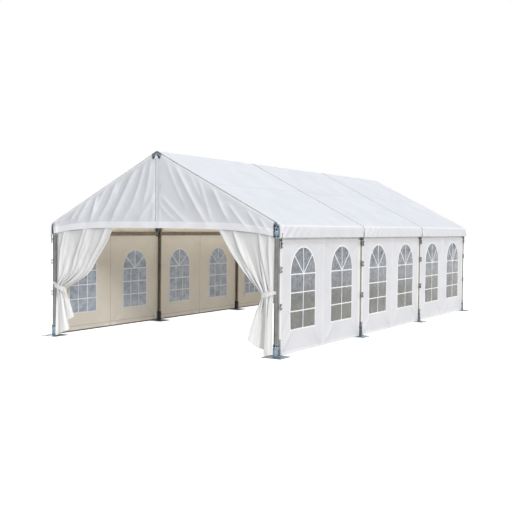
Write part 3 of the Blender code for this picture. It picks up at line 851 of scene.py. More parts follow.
for side, sign in SIDES.items():
    window = WINDOWS[side]
    radius, sill, spring = window["width"] / 2, window["sill"], window["spring"]
    arch = spring + radius * np.sin(np.linspace(0.0, math.pi / 2, 17))
    levels = np.concatenate([np.linspace(WALL_LOW, NOTCH_TOP - 0.002, 10), np.linspace(NOTCH_TOP, sill, 9),
                             np.linspace(sill, spring, 30)[1:], arch[1:],
                             np.linspace(arch[-1], WALL_HIGH, 11)[1:]])
    in_arch = np.sqrt(np.maximum(radius**2 - (levels - spring) ** 2, 0))
    half_window = np.where(levels <= spring, radius, in_arch)
    half_window = np.where(levels >= arch[-1] - 1e-6, 0.0, half_window)
    shoulder = np.where(levels < NOTCH_TOP - 0.001, EDGE_AT_SOCKET, EDGE_IN_GROOVE)
    for n in range(1, 4):
        start = FRAMES_Y[n - 1]
        middle = start + BAY / 2
        centres = [middle + half * window["spacing"] for half in (-0.5, 0.5)]

        # The cloth, in blocks beside and under each window
        grids = []
        share = np.linspace(0.0, 1.0, 25)
        z = np.repeat(levels[:, None], 25, 1)
        low_rows = levels[levels <= sill + 1e-6]
        seam_edge = np.full(len(levels), middle)
        for centre, near, far in ((centres[0], start + shoulder, seam_edge),
                                  (centres[1], seam_edge, start + BAY - shoulder)):
            for low, high in ((near, centre - half_window), (centre + half_window, far)):
                grids.append((low[:, None] + (high - low)[:, None] * share, z))
            grids.append(tuple(np.meshgrid(np.linspace(centre - radius, centre + radius, 27), low_rows)))
        points = np.concatenate([wall_points(side, n, y, z).reshape(-1, 3) for y, z in grids])
        firsts = np.cumsum([0] + [y.size for y, z in grids])
        faces = np.concatenate([grid_faces(*y.shape) + first for (y, z), first in zip(grids, firsts)])
        wall = cloth(f"wall_sheet_{side}_{n}", points, points[:, 1:], (sign, 0, 0), [wall_outer, cloth_inner],
                     faces=faces)
        fitted(wall, "wall_fabric", f"wall_{side}_{n}")

        # The windows' film, and the bars on both faces of it
        panes, bars, inner_bars = [], [], []
        turn = np.linspace(0.0, math.pi / 2, 14)[1:-1]
        wider = radius + FILM_LAP
        rows = np.concatenate([np.linspace(sill - FILM_LAP, spring, 16), spring + wider * np.sin(turn)])
        reach = np.concatenate([np.full(16, wider), wider * np.cos(turn)])
        for centre in centres:
            y = centre + reach[:, None] * np.linspace(-1.0, 1.0, 23)
            places = film_points(side, n, centre, y, rows[:, None])
            panes.append(cloth(f"pane_{side}_{n}", places, places[..., 1:], (sign, 0, 0), [film, film_inner],
                               FILM_THICKNESS))
            for y, z, width, rise, on_cloth in window_lines(side, centre):
                outside = wall_points(side, n, y, z) if on_cloth else film_points(side, n, centre, y, z)
                along = np.gradient(outside[:, 1:], axis=0)
                along /= np.linalg.norm(along, axis=1)[:, None]
                aside = np.stack([np.zeros(len(along)), -along[:, 1], along[:, 0]], -1)
                bars.append((outside, aside, width, rise))
                inner_bars.append((film_points(side, n, centre, y, z, FILM_THICKNESS), aside, width, rise))
        panes = fitted(joined(f"window_panes_{side}_{n}", panes), "clear_film", f"window_film_{side}_{n}")
        bars = [strips(bars, (sign, 0, 0), bar_outer), strips(inner_bars, (-sign, 0, 0), bar_inner)]
        bars = fitted(joined(f"window_bars_{side}_{n}", bars), "wall_fabric")

        # Bands, seams and hems outside, then the seam, the hem's line and a painted shadow along the foot
        # inside
        along = np.linspace(start + EDGE_AT_SOCKET + 0.004, start + BAY - EDGE_AT_SOCKET - 0.004, 120)
        seams = [(wall_points(side, n, middle, levels), (0, 1, 0), SEAM_WIDTH, 0.0014),
                 (wall_points(side, n, along, WALL_LOW + WALL_HEM / 2), (0, 0, 1), WALL_HEM, 0.0010)]
        inner_seam = wall_points(side, n, middle, levels, CLOTH_THICKNESS) + (0, SEAM_WIDTH / 2 - 0.006, 0)
        inner_hem = wall_points(side, n, along, WALL_LOW + INNER_HEM, CLOTH_THICKNESS)
        # Painted shadow along the foot of the wall inside
        ground_shadow_line = wall_points(side, n, along, WALL_LOW + GROUND_SHADOW_HEIGHT, CLOTH_THICKNESS)
        ground_shadow_strip = strips([(ground_shadow_line, (0, 0, 1), 0.032, 0.0032)], (-sign, 0, 0), ground_shadow_finish)
        band_z = np.linspace(WALL_LOW + 0.001, WALL_HIGH, 24)
        bands = [(wall_points(side, n, at, band_z), (0, 1, 0), BAND_WIDTH, 0.0010)
                 for at in (start + BAND_INSET, start + BAY - BAND_INSET)]
        bands = joined(f"wall_bands_{side}_{n}", [strips(bands, (sign, 0, 0), wall_band)])
        fitted(bands, "wall_fabric")
        seams = strips(seams, (sign, 0, 0), seam_outer)
        inner_lines = [(inner_seam, (0, 1, 0), 0.014, 0.0010), (inner_hem, (0, 0, 1), 0.012, 0.0014)]
        inner_seams = strips(inner_lines, (-sign, 0, 0), seam_inner)
        seams = fitted(joined(f"wall_seams_{side}_{n}", [seams, inner_seams, ground_shadow_strip]), "wall_fabric")


# Gables: a triangular sheet of the roof's cloth over each end frame, laced under the ridge cap and
# hemmed in a flat arch over the opening. It hangs in long folds that fan from the rafters to the hem.

GABLE_Y = FACE + 0.0003 + CLOTH_THICKNESS
GABLE_EDGE = BRACKET_INNER - 0.0006
LEFT_REACH = 2.990
HEM_CROWN = 2.55
HEM_RISE = 0.14
HEM_BAND = 0.145
GABLE_DROP = 0.018
CAP_FOOT = 4.148
CAP_REACH = 0.126
COVERED_BRACKET = 0.024
PATCH_OUTLINE = [(-0.040, 4.125), (0.040, 4.125), (0.040, 4.070), (0.0, 4.030), (-0.040, 4.070)]
# Each fold hangs in a curve through a top, a middle and a foot, with a width and a rise
GABLE_FOLDS = (
    (-0.13, 4.02, -0.2, 3.51, -0.35, 3.02, 0.07, 0.02), (-0.29, 3.99, -0.45, 3.47, -0.66, 3.02, 0.06, 0.024),
    (-0.52, 3.87, -0.82, 3.35, -1.24, 2.69, 0.07, 0.05), (-1.05, 3.6, -1.23, 3.22, -1.6, 2.72, 0.07, 0.042),
    (-0.86, 3.72, -0.99, 3.54, -1.15, 3.22, 0.05, 0.016),
    (-1.36, 3.46, -1.57, 3.19, -1.76, 2.86, 0.05, 0.022),
    (-1.66, 3.26, -1.71, 3.0, -1.87, 2.7, 0.05, 0.034), (-1.84, 3.24, -2.0, 3.02, -2.25, 2.68, 0.06, 0.04),
    (-2.14, 3.09, -2.25, 2.96, -2.45, 2.7, 0.05, 0.026), (0.0, 3.34, -0.2, 3.03, -0.49, 2.71, 0.05, 0.024),
    (0.0, 2.97, -0.06, 2.82, -0.16, 2.7, 0.04, 0.016), (-2.46, 2.93, -2.61, 2.81, -2.84, 2.62, 0.05, 0.026),
    (-2.7, 2.8, -2.8, 2.7, -2.95, 2.52, 0.05, 0.022), (-0.6, 3.14, -0.75, 2.92, -0.92, 2.7, 0.05, 0.014),
    (0.5, 3.92, 0.73, 3.55, 1.31, 2.66, 0.07, 0.04), (0.26, 4.02, 0.5, 3.52, 0.78, 3.02, 0.06, 0.018),
    (0.15, 3.28, 0.47, 2.96, 0.85, 2.66, 0.06, 0.024), (0.12, 3.08, 0.3, 2.88, 0.53, 2.7, 0.05, 0.018),
    (1.13, 3.58, 1.3, 3.12, 1.46, 2.7, 0.05, 0.02), (1.46, 3.43, 1.65, 3.08, 1.86, 2.72, 0.07, 0.036),
    (1.86, 3.08, 2.08, 2.82, 2.34, 2.54, 0.06, 0.026), (2.32, 2.92, 2.47, 2.72, 2.63, 2.5, 0.05, 0.024),
    (2.6, 2.78, 2.7, 2.65, 2.83, 2.47, 0.05, 0.018), (0.86, 3.75, 1.02, 3.45, 1.22, 3.1, 0.05, 0.014),
)

gable_outer = cloth_finish("gable_cloth_outer", (0.76, 0.765, 0.785))
gable_hem = cloth_finish("gable_cloth_hem", (0.89, 0.89, 0.905), tone=0.02, weave=0.00006)
# Painted shadow: a dark strip beside the centre seam's light band, for the shade that the band casts
seam_shade = cloth_finish("gable_seam_painted_shadow", (0.40, 0.41, 0.43), weave=0.0)


def hem_z(x):
    return HEM_CROWN - HEM_RISE * (np.abs(x) / BRACKET_INNER) ** 4


def gable_top(x):
    under_cap = CAP_FOOT - np.abs(x) * math.tan(ROOF_PITCH)
    return np.where(np.abs(x) < CAP_REACH, under_cap, roof_z(x) - GABLE_DROP)


def streaked(x, z):
    """Height of the gable's long folds, each steeper on one flank than on the other."""
    height = np.zeros(x.shape)
    for x0, z0, x1, z1, x2, z2, width, rise in GABLE_FOLDS:
        levels = (z0 - z) / (z0 - z2)
        first = (z0 - z1) / (z0 - z2)
        bend = ((x1 - x0) / first - (x2 - x0)) / (first - 1)
        line_x = x0 + levels * ((x2 - x0) - bend) + levels**2 * bend
        aside = (x - line_x) * ((z0 - z2) / math.hypot(x2 - x0, z0 - z2))
        reach = width * (1.4 - 0.9 * eased(aside / (0.5 * width) + 0.5))
        ends = eased((levels + 0.10) / 0.35) * eased((1.12 - levels) / 0.35)
        height += rise * ends * np.exp(-np.sqrt(aside**2 + (0.15 * width) ** 2) / reach + 0.25)
    return height


for name, n, toward, seed in (("front", 1, -1, 3), ("rear", 4, 1, 4)):
    middle = np.linspace(-LEFT_REACH if name == "front" else -GABLE_EDGE, GABLE_EDGE, 281)
    at_cap = [sign * CAP_REACH + shift for sign in (-1, 1) for shift in (-1e-4, 1e-4)]
    middle = np.sort(np.concatenate([middle[np.abs(np.abs(middle) - CAP_REACH) > 0.01], at_cap]))
    share = np.linspace(0.0, 1.0, 57)
    x = np.repeat(middle[None, :], len(share), 0)
    low, high = hem_z(middle)[None, :], gable_top(middle)[None, :]
    z = low + (high - low) * share[:, None]
    held = eased((high - z) / 0.10)
    seen_x = x if name == "front" else -x
    # The long folds, the belly and billows, the flat strip at the seam, then the hem with its wave
    out = np.where(seen_x < 0, 1.35, 0.85) * streaked(seen_x, z) * held
    out += 0.014 * np.sin(math.pi * np.clip(share, 0, 1))[:, None] * np.cos(math.pi * x / 6.2) ** 2 * held
    out += (0.004 * billows(x, z, seed, 0.7) + 0.0014 * billows(x, z, seed + 7, 0.24) + 0.005) * held
    out *= 1 - 0.8 * np.exp(-(x / 0.05) ** 2)
    out += 0.0015 * eased((HEM_BAND - (z - low)) / 0.006)
    hem_wave = np.sin(2 * math.pi * seen_x / 0.62 + 1.2 * np.sin(1.7 * seen_x))
    out += 0.007 * (1 + hem_wave) * eased((0.45 - (z - low)) / 0.4) * eased((GABLE_EDGE - np.abs(x)) / 0.3)
    out = np.maximum(out, 0.0) + COVERED_BRACKET * eased((-x - BRACKET_INNER + 0.06) / 0.04)
    y = FRAMES_Y[n - 1] + toward * (GABLE_Y + out)
    points = np.stack([x, y, z], -1)
    gable = cloth(f"gable_sheet_{name}", points, points[..., [0, 2]], (0, toward, 0),
                  [gable_outer, cloth_inner])
    fitted(gable, "roof_fabric", f"gable_{name}")

    hem_rows = []
    for level in (0.0015, HEM_BAND * 0.25, HEM_BAND * 0.5, HEM_BAND * 0.75, HEM_BAND):
        at = hem_z(middle) + level
        face_y = np.array([np.interp(a, z[:, k], y[:, k]) for k, a in enumerate(at)])
        hem_rows.append(np.stack([middle, face_y + toward * 0.0012, at], -1))
    hem_rows = np.array(hem_rows)
    hem = cloth(f"gable_hem_{name}", hem_rows, hem_rows[..., [0, 2]], (0, toward, 0), [gable_hem], 0.0010)
    fitted(hem, "roof_fabric")

    seam_z = np.linspace(HEM_CROWN + HEM_BAND, CAP_FOOT - 0.01, 60)
    seams = []
    # The seam's light band, then the painted shadow beside it
    for shift, width, finish in ((0.022, 0.030, gable_hem), (-0.010, 0.026, seam_shade)):
        column = int(np.argmin(np.abs(middle + toward * shift)))
        seam_y = np.interp(seam_z, z[:, column], y[:, column])
        seam_line = np.stack([np.full(len(seam_z), middle[column]), seam_y, seam_z], -1)
        seams.append(strips([(seam_line, (1, 0, 0), width, 0.0030)], (0, toward, 0), finish))
    edge_lines = []
    for sign in SIDES.values():
        edge_x = sign * np.linspace(CAP_REACH + 0.01, GABLE_EDGE, 90)
        edge_z = gable_top(edge_x) - 0.022
        columns = np.clip(np.searchsorted(middle, edge_x), 0, len(middle) - 1)
        edge_y = [np.interp(a, z[:, k], y[:, k]) for a, k in zip(edge_z, columns)]
        aside = (sign * math.sin(ROOF_PITCH), 0.0, math.cos(ROOF_PITCH))
        edge_lines.append((np.stack([edge_x, edge_y, edge_z], -1), aside, 0.036, 0.0014))
    seams.append(strips(edge_lines, (0, toward, 0), bright_edge))
    seam = fitted(joined(f"gable_seam_{name}", seams), "roof_fabric")

    patch = rounded_edges(plate(f"gable_patch_{name}", PATCH_OUTLINE, 0.0015, gable_hem), 0.0004, 1)
    patch.data.transform(Matrix.Translation((0, -FACE - 0.012, 0)))
    if toward > 0:
        patch.data.transform(MIRROR_Y)
        patch.data.flip_normals()
    patch.data.transform(Matrix.Translation((0, FRAMES_Y[n - 1], 0)))
    fitted(patch, "roof_fabric")


# Front curtains: soft coated cloth hung on a track behind the gable's hem, gathered and tied back to
# the corner posts. Sharp folds run from the head into the tie, and below it the skirt falls open with
# its free corner lifted. Its free edge has a cream hem.

CURTAIN_Y = FRAMES_Y[0] - FACE
CURTAIN_OUTER = POST_IN - 0.025
CURTAIN_COLUMNS = 181
HEAD_LAP = 0.040
HEAD_BACK = 0.026
PLEATS = 6
PLEAT_DEPTH = 0.070
HEM_EDGE = 0.035
CURTAIN_THICKNESS = 0.0010
# Distances from the tent's middle and heights in metres. Ridges are places across the cloth with strengths.
# The foot's places, depths and heights run from the post to the free edge.
CURTAIN_SHAPES = {
    "left": {
        "edge": (-0.015, -0.040), "width": 1.75, "head": 1.19, "tie_inner": 2.60, "tie_z": (1.21, 1.12),
        "bow": (0.0, 0.19, 0.29, 0.35, 0.0), "seed": 5,
        "ridges": ((0.03, 0.6), (0.13, 1.3), (0.19, 0.5), (0.50, 1.2), (0.57, 0.9), (0.70, 0.3), (0.86, 1.3),
                   (0.985, 0.8)),
        "foot": (2.915, 2.89, 2.84, 2.80, 2.70, 2.52, 2.485, 2.55, 2.575, 2.50, 2.40, 2.32),
        "foot_y": (-0.01, -0.07, -0.04, -0.02, -0.09, -0.12, -0.03, 0.02, -0.01, -0.07, -0.08, -0.04),
        "foot_z": (0.03, 0.025, 0.04, 0.05, 0.09, 0.16, 0.20, 0.30, 0.36, 0.40, 0.45, 0.49),
    },
    "right": {
        "edge": (0.018, 0.048), "width": 1.50, "head": 1.56, "tie_inner": 2.70, "tie_z": (1.24, 1.23),
        "bow": (0.0, 0.05, 0.087, 0.07, 0.0), "seed": 8,
        "ridges": ((0.085, 0.9), (0.25, 1.2), (0.71, 1.3), (0.955, 1.2)),
        "foot": (2.897, 2.91, 2.87, 2.83, 2.76, 2.73, 2.74, 2.69, 2.61, 2.57, 2.50, 2.41),
        "foot_y": (-0.05, -0.09, -0.12, -0.12, -0.07, 0.02, 0.06, 0.01, -0.04, -0.08, -0.11, -0.13),
        "foot_z": (0.09, 0.07, 0.04, 0.035, 0.05, 0.08, 0.11, 0.14, 0.17, 0.20, 0.26, 0.32),
    },
}

curtain_cloth = cloth_finish("curtain_cloth", (0.745, 0.735, 0.72), roughness=0.6, soft=0.1)
curtain_hem = cloth_finish("curtain_hem", (0.82, 0.79, 0.73), roughness=0.6)


def through(values, share):
    """A smooth line through evenly spaced values, read at a share of its length."""
    values = np.asarray(values, float)
    spans = len(values) - 1
    place = np.clip(np.asarray(share, float), 0.0, 1.0) * spans
    first = np.minimum(place.astype(int), spans - 1)
    part = place - first
    padded = np.concatenate([[2 * values[0] - values[1]], values, [2 * values[-1] - values[-2]]])
    a, b, c, d = (padded[first + k] for k in range(4))
    bend = (2 * a - 5 * b + 4 * c - d) * part**2 + (3 * b - a - 3 * c + d) * part**3
    return b + 0.5 * ((c - a) * part + bend)


for side, sign in SIDES.items():
    shape = CURTAIN_SHAPES[side]
    chance = np.random.default_rng(shape["seed"])
    t = np.linspace(0.0, 1.0, CURTAIN_COLUMNS)
    warp = t + 0.030 * wave(2.0 * t + chance.uniform())
    warp = warp + 0.018 * wave(3.3 * t + chance.uniform())
    pleat = 2 * math.pi * PLEATS * warp
    uneven = (0.75 + 0.35 * wave(2.7 * t + chance.uniform())) * (0.3 + 0.7 * eased(t / 0.08))
    slow = 2 * math.pi * (2.3 * warp + chance.uniform())
    tied_pleat = np.sin(pleat) * uneven * PLEAT_DEPTH

    edge_top, edge_tie = shape["edge"]
    tie_end = CURTAIN_OUTER - 0.030
    tie_d = tie_end + (shape["tie_inner"] + 0.012 - tie_end) * t
    tie_d = tie_d + 0.016 * np.sin(2 * pleat + 0.6) * np.sin(math.pi * t)
    tie_z = shape["tie_z"][0] + (shape["tie_z"][1] - shape["tie_z"][0]) * t
    tie_middle = -0.032 - 0.012 * np.cos(math.pi * (t - 0.5))
    head_d = CURTAIN_OUTER + (shape["head"] - CURTAIN_OUTER) * t
    rows = []
    # From the head down to the tie: sharp ridges that fade as the cloth is gathered
    for share in np.linspace(0.0, 1.0, 54) ** 0.92:
        bow = float(through(shape["bow"], share))
        d = head_d + (tie_d - head_d) * share - bow * t**1.3
        d = d + (edge_top + (edge_tie - edge_top) * share) * (1 - t) ** 8 * eased(share / 0.08)
        ridge = np.zeros(CURTAIN_COLUMNS)
        crest = 0.018 + 0.030 * math.sin(math.pi * min(1.0, share * 1.1)) ** 0.8
        for place, strength in shape["ridges"]:
            aside = t - place - 0.010 * math.sin(3 * share + 9 * place)
            reach = np.where(aside * sign > 0, 0.024, 0.050) * (1 + 0.5 * share)
            ridge += strength * np.exp(-np.sqrt(aside**2 + 0.010**2) / reach)
        y = HEAD_BACK * (1 - share) + tie_middle * share - 1.6 * crest * ridge * (1 - share**2.2)
        y = y + 0.010 * np.sin(slow + 2 * share) * math.sin(math.pi * share) + tied_pleat * share**2.3
        head_z = hem_z(d) + HEAD_LAP
        rows.append(np.stack([sign * d, CURTAIN_Y + y, head_z + (tie_z - head_z) * share], -1))
    # From the tie down to the foot: the gathered pleats open into the skirt
    foot_d, foot_y, foot_z = (through(shape[key], t) for key in ("foot", "foot_y", "foot_z"))
    for share in np.linspace(0.0, 1.0, 35)[1:]:
        flared = float(through((0.0, 0.62, 0.92, 0.99, 1.0), share))
        d = tie_d + edge_tie * (1 - t) ** 8 + (foot_d - tie_d) * share**0.85
        y = (tie_middle + tied_pleat) * (1 - flared) + foot_y * flared
        y = y + 0.030 * np.sin(pleat * 0.5 + 1.0) * share * (1 - share) ** 1.2
        y = y + 0.010 * np.sin(pleat * 0.75 + 2.0) * share**0.5 - 0.006 * share
        rows.append(np.stack([sign * d, CURTAIN_Y + y, tie_z + (foot_z - tie_z) * share], -1))
    points = np.array(rows)
    soft = 0.004 * billows(points[..., 0] * 2, points[..., 2], shape["seed"] + 60, 0.5)
    points[..., 1] += soft * eased(np.arange(len(rows)) / 9.0)[:, None]
    behind_hem = points[..., 2] > hem_z(points[..., 0]) - 0.01
    points[..., 1] = np.where(behind_hem, np.maximum(points[..., 1], CURTAIN_Y + 0.002), points[..., 1])
    lengths = np.linalg.norm(np.diff(points, axis=0), axis=2)
    down = np.concatenate([np.zeros((1, CURTAIN_COLUMNS)), np.cumsum(lengths, axis=0)])
    flat = np.stack(np.broadcast_arrays(t * shape["width"], down), -1)
    curtain = cloth(f"curtain_sheet_{side}", points, flat, (0, -1, 0), [curtain_cloth, curtain_hem],
                    CURTAIN_THICKNESS)
    for face in curtain.data.polygons:
        if curtain.data.uv_layers["flat"].data[face.loop_start].uv.x > shape["width"] - HEM_EDGE:
            face.material_index = 1
    fitted(curtain, "curtain_fabric", f"curtain_front_{side}")


# Ties: a flat strap of the same cloth round each gathered curtain, drawn tight, with its end carried
# over the front of the corner post and hooked in its groove. The strap is puckered by the pull.

TIE_HEIGHTS = {"left": (1.215, 1.105), "right": (1.275, 1.225)}
TIE_WIDTHS = {"left": (0.085, 0.120), "right": (0.085, 0.125)}
TIE_ENDS = {"left": 3.040, "right": 3.010}
TIE_THICKNESS = 0.0030
for side, sign in SIDES.items():
    shape = CURTAIN_SHAPES[side]
    inner, outer = shape["tie_inner"] - 0.012, POST_IN - 0.012
    centre, half = (inner + outer) / 2, (outer - inner) / 2
    low, high = TIE_HEIGHTS[side]
    narrow, broad = TIE_WIDTHS[side]
    across = np.linspace(-0.5, 0.5, 11)[:, None]

    around = np.linspace(0.0, 2 * math.pi, 97)
    d = centre + half * np.cos(around)[None, :] + 0 * across
    y = 0.072 * np.sign(np.sin(around)) * np.abs(np.sin(around)) ** 0.7
    y = CURTAIN_Y - 0.038 + y[None, :] - 0.004 * np.cos(math.pi * across) * np.sign(np.sin(around))
    pucker = 0.0030 * np.sin(around * 9 + 7 * across) + 0.0025 * np.sin(around * 17 - 11 * across)
    y = y + np.where(np.sin(around) < 0, pucker, 0)
    inner_share = (outer - d) / (outer - inner)
    rise = across * (narrow + (broad - narrow) * inner_share)
    z = low + (high - low) * inner_share + rise + 0.004 * np.sin(around * 5 + 1.0) * across * 2
    flat = np.stack([np.repeat(around[None, :] * half * 0.72, 11, 0), rise], -1)
    band = cloth(f"tie_band_{side}", np.stack([sign * d, y, z], -1), flat, (0, 0, 1), [curtain_cloth],
                 TIE_THICKNESS)

    share = np.linspace(0.0, 1.0, 25)[None, :]
    d = (centre + 0.02) + (TIE_ENDS[side] - centre - 0.02) * share + 0 * across
    z = low + (high - low) * ((outer - d) / (outer - inner)) + 0.010 * np.sin(math.pi * share)
    z = z + across * (narrow * (1 - 0.25 * share))
    y = CURTAIN_Y - 0.114 + 0.100 * eased((d - centre - 0.02) / (POST_IN - centre))
    y = y - 0.004 * np.cos(math.pi * across)
    y = np.minimum(y, CURTAIN_Y - 0.0075) + 0.002 * np.sin(14 * share + 9 * across)
    tab = cloth(f"tie_tab_{side}", np.stack([sign * d, y, z], -1), np.stack([d, z], -1), (0, -1, 0),
                [curtain_cloth], TIE_THICKNESS)
    tie = fitted(joined(f"tie_strap_{side}", [band, tab]), "curtain_fabric", f"tie_front_{side}")


# Rear end wall: the same pair of curtains drawn closed to the middle of the span, hanging in soft
# folds from a track behind the rear gable's hem, and laced to the posts at their outer edges.

REAR_Y = FRAMES_Y[-1] + FACE - 0.004
REAR_LOW = 0.03
REAR_FOLDS = 13
UNDER_BRACKET = 2.372
MIDDLE_GAP = 0.0015
for side, sign in SIDES.items():
    chance = np.random.default_rng(20 + sign)
    t = np.linspace(0.0, 1.0, 157)[None, :]
    share = np.linspace(0.0, 1.0, 40)[:, None]
    outer_edge = np.where(share * 2.5 > 2.17, POST_IN - 0.0215, POST_IN - 0.0065)
    d = MIDDLE_GAP + (outer_edge - MIDDLE_GAP) * t
    wander = 0.05 * wave(1.7 * t + chance.uniform()) + 0.012 * np.sin(2 * math.pi * 3 * share + 5 * t)
    phase = 2 * math.pi * REAR_FOLDS * (t + 0.3 * wander)
    swell = 0.004 + 0.020 * eased(share / 0.5) * (0.8 + 0.4 * wave(2.2 * t + chance.uniform()))
    inward = swell * (1 + np.sin(phase)) * eased((1 - t) / 0.04) * eased(t / 0.02) + 0.001
    high = hem_z(d) + HEAD_LAP
    high = np.where(d > BRACKET_INNER - 0.004, np.minimum(high, UNDER_BRACKET), high)
    z = high + (REAR_LOW - high) * share
    y = REAR_Y - inward + 0.002 * billows(d * 2 + 9 * sign, z, 90, 0.6) * eased(share / 0.1)
    points = np.stack([sign * d, np.minimum(y, REAR_Y), z], -1)
    rear = cloth(f"end_curtain_{side}", points, np.stack([d * 1.12, z], -1), (0, 1, 0),
                 [curtain_cloth, cloth_inner], CURTAIN_THICKNESS)
    fitted(rear, "curtain_fabric", f"end_wall_{side}")


# Wall lashings: at each post the wall's edge band is held by a steel bar with two rings at three
# heights, by a hook under the eave bracket, and by a laced cord of small loops down by the socket.

LASH_HEIGHTS = (2.235, 1.745, 1.005)
HOOK_HEIGHT = 2.315
LACE_LOW, LACE_HIGH, LACE_STEP = 0.045, 0.350, 0.033
TOOTH_LOW, TOOTH_STEP = 0.045, 0.027
UPRIGHT = (math.pi / 2, 0, 0)


def ring(name, finish, segments, radius, wire, at=(0.0, 0.0, 0.0), turn=UPRIGHT, stretch=1.0):
    """A ring of steel wire at a place, turned, and stretched along its own axis."""
    bpy.ops.mesh.primitive_torus_add(major_segments=segments, minor_segments=6, major_radius=radius,
                                     minor_radius=wire, location=at, rotation=turn)
    bpy.context.object.scale.z = stretch
    made = settled(named(name, finish))
    bpy.ops.object.shade_smooth()
    return made


def bay_sides(n):
    """The ways along the tent, -1 or 1, in which a bay lies beside a frame."""
    return [toward for toward in (-1, 1) if 1 <= n + toward <= 4]


lash = [rod("lash_bar", 12, 0.0075, 0.135, -0.0675, 0.003)]
for height in (-0.036, 0.036):
    lash.append(ring("lash_ring", dark_steel, 18, 0.021, 0.0042, (0.026, 0.0, height)))
    lash.append(ring("lash_eye", galvanised, 12, 0.010, 0.0035, (0.050, 0.0, height), (0, math.pi / 2, 0.4)))
lash = joined("lash_model", lash)
loop = ring("lace_loop", dark_steel, 14, 0.010, 0.0036, stretch=1.5)
light_loop = ring("lace_ring", galvanised, 12, 0.012, 0.0034, (0.020, 0, 0.012), (0, math.pi / 2, 0.6))
loop = joined("lace_loop", [loop, light_loop])
hook_bar = rod("hook_bar", 10, 0.0085, 0.12, -0.06, 0.003)
hook_ring = ring("hook_ring", dark_steel, 18, 0.020, 0.0050, (0.024, 0.0, -0.058))
hook = joined("hook_model", [hook_bar, hook_ring])
tooth = rod("tooth_model", 6, 0.0085, 0.012, 0.0, 0.001, 1)

for side, sign, n, y in STANDS:
    lashes, loops, hooks, teeth = [], [], [], []
    for toward in bay_sides(n):
        stand = Vector((sign * (POST_OUT + 0.020), y + toward * (FACE + 0.006), 0))
        sideways = turned = Matrix.Rotation(math.pi / 2 * toward, 4, "Z")
        if side == "left" and n == 1:
            stand = Vector((sign * (POST_OUT + 0.036), y - 0.036, 0))
            turned = Matrix.Identity(4)
        for height in LASH_HEIGHTS:
            lashes.append(Matrix.Translation(stand + Vector((0, 0, height))) @ turned)
        level = LACE_LOW
        while level < LACE_HIGH:
            aside = toward * (0.046 + 0.004 * math.sin(90 * level))
            at = Matrix.Translation((sign * (POST_OUT + 0.010), y + aside, level))
            loops.append(at @ sideways @ Matrix.Rotation(0.5 + 9 * level, 4, "Y"))
            level += LACE_STEP
        hooks.append(Matrix.Translation(stand + Vector((0, toward * 0.004, HOOK_HEIGHT))) @ turned)
    fastened(f"lashings_{side}_{n}", lash, lashes)
    lacing = copies(f"lacing_{side}_{n}", loop, loops)
    for toward in [way for way in (-1, 1) if way not in bay_sides(n)] or (-1, 1):
        for way in (-1, 1):
            for step in range(8):
                x = sign * POST_MIDDLE + way * SOCKET_HALF_X
                at = (x, y + toward * 0.026, TOOTH_LOW + TOOTH_STEP * step)
                teeth.append(facing(at, (way, 0, 0), step))
    lacing = joined(f"lacing_{side}_{n}", [lacing, copies("socket_teeth", tooth, teeth)])
    fitted(lacing, "galvanised_steel")
    fastened(f"eave_hooks_{side}_{n}", hook, hooks)
removed(bolt, stud, weld, lash, loop, hook, tooth)


# Purlin cleats: a dark steel shoe bolted round each end of the eave purlins, under the valance.
# Its floor closes the purlin's end, and its flange is held by the eave bracket.

CLEAT_SIZE = (0.062, 0.075, 0.020)
CLEAT_REACH = BRACKET_FACE + CHEEK_THICKNESS + 0.002 + CLEAT_SIZE[1] / 2
bpy.ops.mesh.primitive_cube_add(size=1)
bpy.context.object.scale = CLEAT_SIZE
cleat = rounded_edges(settled(named("cleat_model", dark_steel)), 0.003)
for side, sign, n, y in STANDS:
    purlin_low, purlin_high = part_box(f"eave_purlin_{side}_1")
    cleat_x = (purlin_low.x + purlin_high.x) / 2 + sign * 0.012
    places = []
    for toward in bay_sides(n):
        places.append(Matrix.Translation((cleat_x, y + toward * CLEAT_REACH, purlin_low.z - 0.0105)))
    fastened(f"purlin_cleats_{side}_{n}", cleat, places)
removed(cleat)


# Stage: a plain pale floor, a soft bright surround and three broad lamps. Two panels inside stand for
# the light let through the cloth, and one on the ground in front for the light off the ground.

GROUND_SIZE = 260.0
# Each lamp's direction, power and spread in degrees
LAMPS = {
    "sun": ((0.48, -0.18, 0.86), 1.1, 20),
    "side_light": ((0.80, -0.48, 0.36), 1.35, 14),
    "back_light": ((-0.72, 0.55, 0.42), 0.65, 14),
}
# Each panel's size, place, tilt and power
PANELS = {
    "inside_light_down": ((3.0, 11.0), (0.0, 0.3, 3.2), 0.0, 16.0),
    "inside_light_up": ((3.0, 11.0), (0.0, 0.3, 1.7), math.pi, 180.0),
    "ground_light": ((7.0, 1.4), (0.0, -7.3, 0.02), math.radians(150), 32.0),
}
PANEL_COLOUR = (1.0, 0.98, 0.96)
bpy.ops.mesh.primitive_plane_add(size=GROUND_SIZE, location=(0, 0, -0.0005))
paving, shader, where = new_finish("pale_floor")
shader.inputs["Base Color"].default_value = (0.95, 0.95, 0.95, 1.0)
shader.inputs["Roughness"].default_value = 0.9
shader.inputs["Emission Color"].default_value = (1.0, 1.0, 1.0, 1.0)
shader.inputs["Emission Strength"].default_value = 0.60
floor = named("floor", paving)
floor.visible_diffuse = False
floor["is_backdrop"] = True

world = bpy.data.worlds.new("surround")
bpy.context.scene.world = world
world.use_nodes = True
tree = world.node_tree
lighting = tree.nodes["Background"]
backdrop = tree.nodes.new("ShaderNodeBackground")
for background, colour, strength in ((lighting, (0.93, 0.96, 1.0, 1.0), 0.55),
                                     (backdrop, (1.0, 1.0, 1.0, 1.0), 1.0)):
    background.inputs["Color"].default_value = colour
    background.inputs["Strength"].default_value = strength
choice = tree.nodes.new("ShaderNodeMixShader")
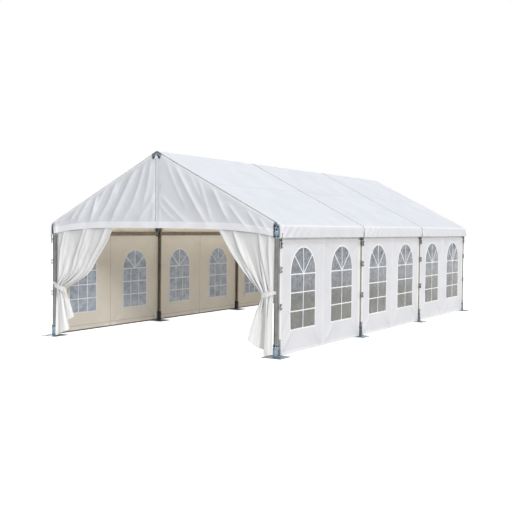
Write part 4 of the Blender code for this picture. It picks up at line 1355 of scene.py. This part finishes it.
feed(tree.nodes.new("ShaderNodeLightPath").outputs["Is Camera Ray"], choice, "Fac")
feed(lighting.outputs["Background"], choice, 1)
feed(backdrop.outputs["Background"], choice, 2)
feed(choice.outputs["Shader"], tree.nodes["World Output"], "Surface")


def stage_lamp(name, kind, power):
    """A lamp of the stage."""
    lamp = bpy.data.objects.new(name, bpy.data.lights.new(name, kind))
    lamp.data.energy = power
    bpy.context.scene.collection.objects.link(lamp)
    lamp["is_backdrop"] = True
    return lamp


for name, (direction, power, spread) in LAMPS.items():
    lamp = stage_lamp(name, "SUN", power)
    lamp.data.angle = math.radians(spread)
    lamp.rotation_mode = "QUATERNION"
    lamp.rotation_quaternion = Vector(direction).to_track_quat("Z", "Y")
for name, (size, place, tilt, power) in PANELS.items():
    panel = stage_lamp(name, "AREA", power)
    panel.data.shape = "RECTANGLE"
    panel.data.size, panel.data.size_y = size
    panel.data.color = PANEL_COLOUR
    panel.location = place
    panel.rotation_euler = (tilt, 0.0, 0.0)
    panel.visible_camera = False
    panel.visible_glossy = False


# Camera: as the photograph, standing in front and to the right at two and a half metres.
# It looks slightly down and is turned to the left, with a little roll.

CAMERA_PLACE = (11.268, -20.614, 2.567)
CAMERA_TURN = 0.540
CAMERA_TILT = -0.0327
CAMERA_ROLL = 0.0098
FOCAL_PIXELS = 845.95
PICTURE_PIXELS = 512
SENSOR = 36.0
camera = bpy.data.objects.new("camera", bpy.data.cameras.new("camera"))
bpy.context.scene.collection.objects.link(camera)
camera.data.sensor_width = SENSOR
camera.data.lens = SENSOR * FOCAL_PIXELS / PICTURE_PIXELS
camera.data.clip_end = 500.0
turned = Matrix.Rotation(CAMERA_TURN, 3, "Z") @ Matrix.Rotation(math.pi / 2 + CAMERA_TILT, 3, "X")
camera.rotation_mode = "QUATERNION"
camera.rotation_quaternion = (turned @ Matrix.Rotation(CAMERA_ROLL, 3, "Z")).to_quaternion()
camera.location = CAMERA_PLACE
bpy.context.scene.camera = camera
bpy.context.scene.view_settings.view_transform = "Standard"

low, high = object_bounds()
